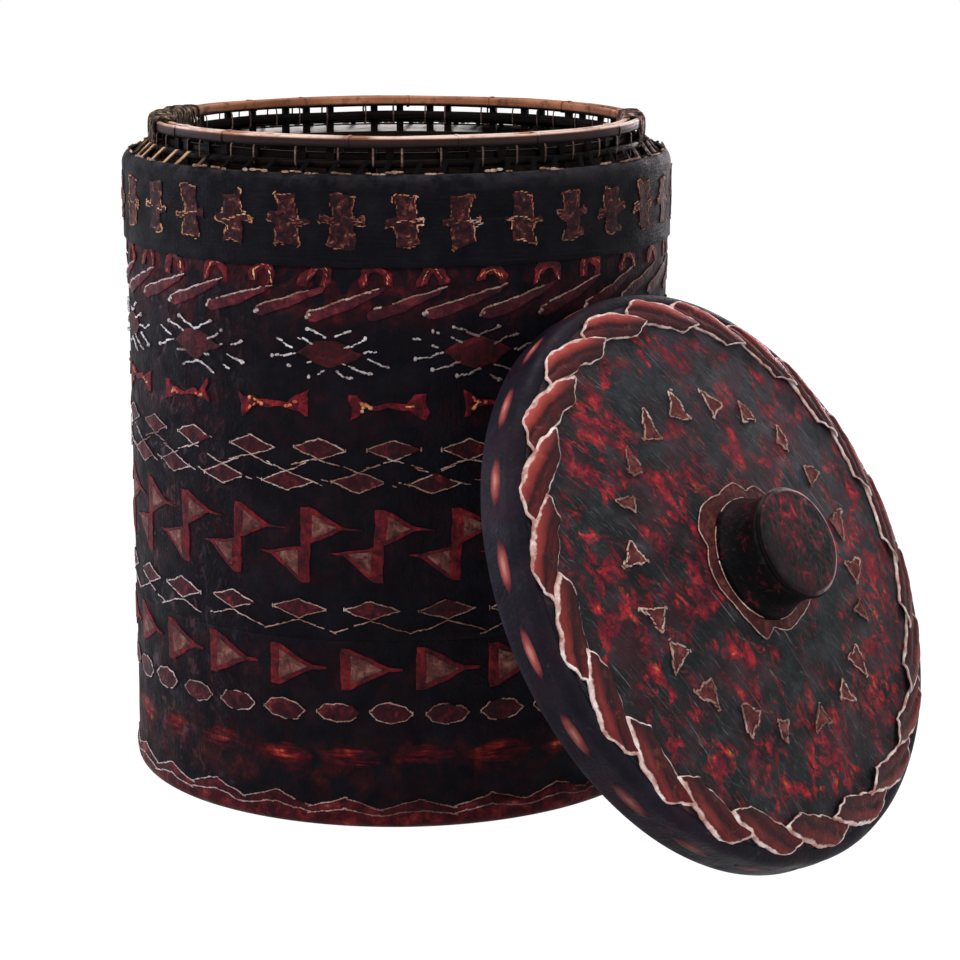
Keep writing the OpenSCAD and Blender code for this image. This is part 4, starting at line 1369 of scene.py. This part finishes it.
def coil_ledge():
    """The wrapped coil of straw on the wall's top, round above and square below."""

    def wrapped(angle, r, z):
        turn = math.sin(angle * 150 + (z - 0.3) * 500)
        return (0.35 * turn + 0.4 * wander_round(angle, 4, z * 60)) * MM, 0.0

    r, z, half, low = 126.4, 301.9, 5.5, 296.3
    section = [(r - half, low), (r + half, low), (r + half, z)]
    section += arc(r, z, half, half, 15, 165, 10)
    section.append((r - half, z))
    section = [(x * MM, y * MM) for x, y in section]
    coil = lathe("ledge_coil_straw", section, COIL_STEPS, LEDGE_STRAW, wrapped)
    dress(coil, "box", "ledge_coil")


def loop_mesh(name, wide, low, high, thick, deep=8.6, steps=20):
    """One binding wound over, behind and under the hoops: a flat cord bent to a rounded square."""
    middle, tall, reach = (low + high) / 2, (high - low) / 2 + thick / 2, deep / 2 + 0.1 + thick / 2
    sides = 6

    def blunt(value):
        return math.copysign(abs(value) ** 0.45, value)

    path = []
    for k in range(steps):
        up, out = blunt(math.sin(TURN * k / steps)), blunt(math.cos(TURN * k / steps))
        path.append(Vector((middle + tall * up, -deep / 2 + reach * out)))
    points, faces = [], []
    for k in range(steps):
        m = (k + 1) % steps
        along = (path[m] - path[k - 1]).normalized()
        for b in range(sides):
            n = (b + 1) % sides
            side, out = wide / 2 * math.cos(TURN * b / sides), thick / 2 * math.sin(TURN * b / sides)
            points.append((side * MM, (path[k].x + along.y * out) * MM, (path[k].y - along.x * out) * MM))
            faces.append((k * sides + b, m * sides + b, m * sides + n, k * sides + n))
    mesh = mesh_from(name, points, faces)
    mesh.shade_smooth()
    return mesh


def splice_mesh(name, turns, low, high, reach):
    """Bindings wound over the collar's end: close in the middle, loose at the sides, uneven throughout."""
    whole = bmesh.new()
    hub = Matrix.Translation((0, 317 * MM, 0))
    for k in range(turns):
        spot = 2 * (k + 0.5) / turns - 1
        aside = reach * math.copysign(abs(spot) ** 1.5, spot) * MM
        grow = wander(k * 0.9, 3.0, 1.0)
        foot = low + 6 * wander(k * 1.3, 7.0, 2.0)
        wide, thick = 2.2 + 1.4 * grow, 1.2 + 1.4 * abs(grow)
        loop = loop_mesh(f"{name}_{k}", wide, foot, high + 0.9 * grow, thick, 8.8, 16)
        lean = Matrix.Rotation(1.5 * wander(k * 1.7, 1.0, 6.0), 4, "Z")
        loop.transform(Matrix.Translation((aside, 0, 0)) @ hub @ lean @ hub.inverted())
        whole.from_mesh(loop)
        bpy.data.meshes.remove(loop)
    mesh = mesh_of(name, whole)
    mesh.shade_smooth()
    return mesh


def collar_row(name, node, row, finish, motif, aside, slot="pale_cane"):
    """One row of stiff pieces at the collar, which only wander sideways."""
    stiff = {"Lean": 0.0, "Spread": 0.0, "Crumple": 0.0, "Rise": 0.0, "Wander": aside}
    wall_row(name, node, row, finish, radius=COLLAR_R, slot=slot, Motif=motif, **stiff)


def bind_collar():
    low_loop = bpy.data.objects.new("low_loop", loop_mesh("low_loop", 0.95, 309.6, 318.9, 0.5))
    collar_row("collar_bindings", "collar_ties", COLLAR_TIES, TIE, low_loop, 0.0045)
    rim_loop = bpy.data.objects.new("rim_loop", loop_mesh("rim_loop", 1.6, 318.1, 323.5, 0.4))
    collar_row("rim_bindings", None, RIM_TIES, RIM_CANE, rim_loop, 0.012)
    for end, turns, turn, reach, seed, finish in (
        ("left_end", 34, -0.262, 46, 138, GOLD_TIE),
        ("right_end", 18, 0.243, 22, 140, WORN_TIE),
    ):
        mesh = splice_mesh(end + "_winding", turns, 312, 323.6, reach)
        winding = bpy.data.objects.new(end + "_winding", mesh)
        collar_row(end + "_splice", None, (0, 1, turn, seed), finish, winding, 0.0)


def set_stakes():
    half, low, high = 1.9, 7.2, 323.0
    slat = [(-half, low), (half, low), (half, high), (-half, high)]
    stake = make_motif("stake_motif", [slat], -5.2, 1.8, inset=0.3, swell=0.0, step=400)
    collar_row("frame_stake_slats", "frame_stakes", STAKES, CANE, stake, 0.006, "cane")


def lace_ledge():
    """Strips that lace the ledge to the collar, drawn in and aside as they rise."""
    outline = [(-1.3, 0), (1.1, 0), (1.3, 6.6), (-1.0, 6.6)]
    strip = make_motif("lace_motif", [outline], 0, 0.9, inset=0.35, swell=0.25)
    for v in strip.data.vertices:
        v.co.z += 7.4 * MM - v.co.y * 0.9
        v.co.x += v.co.y * 0.5
    collar_row("ledge_lacing", "ledge_lashing", LACES, LACE, strip, 0.003)


# The lid


def dome_height(r):
    return DOME_CREST - DOME_BALL + math.sqrt(DOME_BALL**2 - r * r)


def cover_dome():
    def settle(angle, r, z):
        return 0.0, (-0.2 + 0.18 * wander_round(angle, r * 40, 1.5)) * MM

    steps = 46
    radii = [PEG_R + (DOME_R - PEG_R - 0.2 * MM) * k / steps for k in range(steps + 1)] + [DOME_R]
    face = [(r, dome_height(r)) for r in radii]
    under = [(r, z - LID_THICK) for r, z in (face[-1], *reversed(face[::6]))]
    dress_lid(lathe("dome_skin", face + under, LID_STEPS, LID_BLACK, settle), "lid_cover")


def cover_side():
    def settle(angle, r, z):
        return (-0.18 + 0.16 * wander_round(angle, 5, z * 40)) * MM, 0.0

    lip, rows = 0.4 * MM, 6
    bend, inner = LID_SIDE - LID_ROUND, LID_ROUND - LID_THICK
    section = [(LID_R - lip, 0.0)]
    section += [(LID_R, lip + (bend - lip) * k / rows) for k in range(rows + 1)]
    section += arc(LID_R - LID_ROUND, bend, LID_ROUND, LID_ROUND, 10, 90, 8)
    section += [(DOME_R - 0.3 * MM, LID_SIDE - 0.15 * MM), (DOME_R - 0.9 * MM, LID_SIDE - 0.3 * MM)]
    section += arc(LID_R - LID_ROUND, bend, inner, inner, 80, 0, 5)
    section.append((LID_R - LID_THICK, 0.0))
    skin = lathe("lid_side_skin", section, LID_STEPS, LID_SIDE_BLACK, settle)
    dress_lid(skin, "lid_side_cover")


def dome_row(name, node, ring, leather, motif=None, lines=None, height=0.0, **more):
    """One ring of patches on the lid's dome, with its edging; more sets other inputs of the tree."""
    reach, count, turn, seed = ring
    values = {"Radius": reach * MM, "Count": count, "Turn": turn, "Seed": seed, "Height": height * MM}
    values |= {"Stitch": STITCH, "Leather": leather, "Edging": LID_PALE, **more}
    if motif:
        values["Motif"] = motif
    if lines:
        values["Lines"] = make_lines(name + "_lines", lines, DOME_STITCH_LIFT)
    dress(bake(name, ON_DOME, values, LID), "lid", node)


def strip_point(u, v):
    """A point of a border strip in millimetres: u runs along and outwards, v across from its inner edge."""
    reach = u * (1 - 0.05 * (1 - v) ** 4 - 0.11 * v**4)
    x = 2.0 + 39.0 * reach - 14.0 * v
    y = -12.0 + 13.6 * reach + 6.6 * v - 2.0 * (1 - v) * min(1.0, 2 * u) + 1.6 * math.sin(math.pi * u) * v
    lap = 1.4 * v * (1 - u) ** 0.7
    fold = 1.3 * math.exp(-(((v - 0.44) / 0.11) ** 2)) * (0.25 + 0.75 * u)
    crown = 1.7 * (1 - (2 * v - 1) ** 4) - fold
    return x, y, 0.3 + lap + crown + 0.05 * (8.6 - y)


def border_motif():
    """One border strip as a closed shell, with u and v kept as its UV map."""
    rows, cols, thick = 22, 14, 1.0
    shape = bmesh.new()
    layer = shape.loops.layers.uv.new("strip")
    place = {}
    for i in range(rows + 1):
        for k in range(cols + 1):
            u, v = i / rows, k / cols
            x, y, z = strip_point(u, v)
            place[i, k, 1] = (shape.verts.new((x * MM, y * MM, z * MM)), (u, v))
            place[i, k, 0] = (shape.verts.new((x * MM, y * MM, (z - thick) * MM)), (u, v))

    def face(*keys):
        made = shape.faces.new([place[key][0] for key in keys])
        for loop, key in zip(made.loops, keys):
            loop[layer].uv = place[key][1]

    for i in range(rows):
        for k in range(cols):
            face((i, k, 1), (i + 1, k, 1), (i + 1, k + 1, 1), (i, k + 1, 1))
            face((i, k, 0), (i, k + 1, 0), (i + 1, k + 1, 0), (i + 1, k, 0))
        face((i, 0, 0), (i + 1, 0, 0), (i + 1, 0, 1), (i, 0, 1))
        face((i, cols, 1), (i + 1, cols, 1), (i + 1, cols, 0), (i, cols, 0))
    for k in range(cols):
        face((0, k, 1), (0, k + 1, 1), (0, k + 1, 0), (0, k, 0))
        face((rows, k, 0), (rows, k + 1, 0), (rows, k + 1, 1), (rows, k, 1))
    mesh = mesh_of("border_motif", shape)
    mesh.shade_smooth()
    return bpy.data.objects.new("border_motif", mesh)


def sew_border():
    loose = {"Wander": 0.0012, "Lean": 0.04, "Spread": 0.04, "Crumple": 0.0028, "Ripple": 0.3}
    dome_row("border_strips", "lid_border", BORDER, STRIP, border_motif(), **loose)


def sew_dome_triangles():
    triangle = [(-5.8, -5.0), (5.6, -5.2), (0.6, 7.2)]
    motif = make_motif("dome_triangle_motif", [triangle])
    loose = {"Wander": 0.003, "Lean": 1.3, "Spread": 0.2, "Worn": 0.34, "Crumple": 0.005, "Thread": 0.00042}
    lines = [closed(triangle)]
    dome_row("dome_triangle_ring", "dome_triangles", DOME_TRIANGLES, LID_PATCH, motif, lines, **loose)


def sew_side_spots():
    lens = arc(0, 0, SPOT_LONG / 2 / MM, SPOT_TALL / 2 / MM, 0, 340, 17)
    values = {"Count": SPOTS, "Turn": SPOT_TURN, "Seed": SPOT_SEED, "Radius": LID_R, "Height": SPOT_Z}
    values |= {"Stitch": STITCH, "Leather": SPOT, "Edging": LID_PALE}
    values |= {"Wander": 0.0, "Rise": 0.0, "Lean": 0.0, "Spread": 0.0, "Crumple": 0.0}
    values["Motif"] = make_motif("side_spot_motif", [lens], -0.7, 0.3, 3.0, 0.52, 2.0)
    dress(bake("side_spots", ON_WALL, values, LID), "lid", "side_spot_patches")


def cover_knob():
    def worn(angle, r, z):
        return 0.5 * MM * wander_round(angle, 3, z * 90), 0.3 * MM * wander_round(angle, 2, 4.0)

    rows = 8
    section = []
    for k in range(rows + 1):
        up = k / rows
        flare = 4.4 * (1 - up) ** 3 + 0.5 * up**3 - 0.9
        section.append((KNOB_R + flare * MM, KNOB_LOW + (KNOB_EDGE - KNOB_LOW) * up))
    section += [(KNOB_R - 1.3 * MM, KNOB_EDGE), (KNOB_R - 2.8 * MM, KNOB_LOW)]
    dress_lid(lathe("knob_side_skin", section, KNOB_STEPS, KNOB_BLACK, worn), "knob_cover")


def edge_knob():
    def twisted(angle, r, z):
        return 0.12 * MM * math.sin(angle * 46 + z * 900), 0.1 * MM * math.sin(angle * 46)

    low, high = KNOB_EDGE + 0.2 * MM, KNOB_EDGE + 2.2 * MM
    section = hoop_section(KNOB_R - 1.2 * MM, KNOB_R + 0.6 * MM, low, high, 0.85 * MM)
    dress_lid(lathe("knob_edge_cord", section, CORD_STEPS, KNOB_CORD, twisted), "knob_rim")


def cap_knob():
    def settle(angle, r, z):
        return 0.0, 0.2 * MM * wander_round(angle, r * 90, 6.0)

    flat, top, low, pole = KNOB_R - 2.2 * MM, KNOB_TOP - 0.2 * MM, KNOB_TOP - 2.2 * MM, 0.05 * MM
    rows = 9
    section = [(pole, top)]
    section += [(flat * k / rows, top - 0.25 * MM * (k / rows) ** 2) for k in range(1, rows + 1)]
    for bend in (20, 45, 70, 90):
        out, up = math.sin(math.radians(bend)), math.cos(math.radians(bend))
        section.append((flat + 2.0 * MM * out, KNOB_TOP - 2.4 * MM + 1.95 * MM * up))
    section += [(KNOB_R - 0.4 * MM, low - 0.1 * MM), (pole, low)]
    dress_lid(lathe("knob_top_skin", section, KNOB_STEPS, KNOB_RED, settle), "knob_cap")


# Corners of the ragged frill at the knob's foot: bearing in degrees and reach in millimetres
FRILL_TIPS = (
    (-165, 34), (-141, 38), (-123, 37.5), (-112, 32), (-98, 34), (-80, 33.5), (-60, 31.5), (-40, 33.5),
    (-22, 38), (-12, 31.5), (5, 34.5), (25, 34), (47, 36.5), (58, 31.5), (75, 36), (95, 37),
    (110, 32), (130, 36), (150, 37.5), (160, 33), (172, 36.5), (195, 34),
)


def frill_outline(steps=132):
    """The frill's edge as bearings in radians and reaches in millimetres."""
    edge = []
    for k in range(steps):
        angle = FRILL_TIPS[0][0] + 360 * k / steps
        sides = zip(FRILL_TIPS, FRILL_TIPS[1:])
        (a0, r0), (a1, r1) = next(pair for pair in sides if pair[0][0] <= angle < pair[1][0])
        edge.append((math.radians(angle), r0 + (r1 - r0) * (angle - a0) / (a1 - a0)))
    return edge


def frill_knob():
    edge = frill_outline()
    points, faces = [], []
    for a, r in edge:
        wave = 0.35 * wander_round(a, 5, 9.0)
        section = (
            (24.6, 2.0), (28.2, 2.1 + wave), (30.0, 1.5 + wave), (r - 0.5, 1.0),
            (r, 0.6), (r, 0.05), (24.6, 0.05)
        )
        for reach, lift in section:
            reach *= MM
            points.append((reach * math.cos(a), reach * math.sin(a), dome_height(reach) + lift * MM))
    count = len(section)
    for k in range(len(edge)):
        m = (k + 1) % len(edge)
        for level in range(count):
            up = (level + 1) % count
            faces.append((k * count + level, k * count + up, m * count + up, m * count + level))
    skin = make_object("knob_frill_skin", mesh_from("knob_frill_skin", points, faces), FRILL)
    dress_lid(skin, "knob_frill")

    ring, start = FRILL_EDGE[0], edge[0][0]
    outer = [(a * ring, r - ring) for a, r in (*edge, (start + TURN, edge[0][1]))]
    foot = [((start + TURN * k / 60) * ring, 28.6 - ring) for k in range(61)]
    even = {"Wander": 0.0, "Lean": 0.0, "Spread": 0.0, "Crumple": 0.0}
    dome_row("frill_edging", None, FRILL_EDGE, LID_PATCH, lines=[outer], height=0.4, Worn=0.3, **even)
    dome_row("frill_foot_edging", None, FRILL_FOOT, LID_PATCH, lines=[foot], height=1.7, Worn=0.46, **even)


def finish_cad_nodes():
    """Better materials for the CAD nodes that stay as they are."""
    finishes = {
        CANE: ("foot_hoop", "wall_frame_hoops", "lid_fit_hoop"),
        STRAW: ("wall_core", "lid_rim_core"),
        LINING: ("liner", "lid_lining"),
        TIE: ("lid_edge_ties",),
        TIMBER: ("base_board", "lid_board", "knob_core", "knob_peg", "knob_washer", "knob_pin"),
    }
    for finish, names in finishes.items():
        for name in names:
            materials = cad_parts[name].data.materials
            materials.clear()
            materials.append(finish)


aim_camera()
light_studio()
lay_floor()

clothe_wall()
bind_shoulder()
bind_foot()
edge_foot()
sew_crosses()
sew_arches()
sew_slants()
sew_stars()
sew_bows()
sew_diamonds()
sew_triangles()
sew_ovals()
sew_ledge()
bend_hoops()
coil_ledge()
bind_collar()
set_stakes()
lace_ledge()

cover_dome()
cover_side()
sew_border()
sew_dome_triangles()
sew_side_spots()
cover_knob()
edge_knob()
cap_knob()
frill_knob()
finish_cad_nodes()
bpy.data.objects.remove(STITCH)
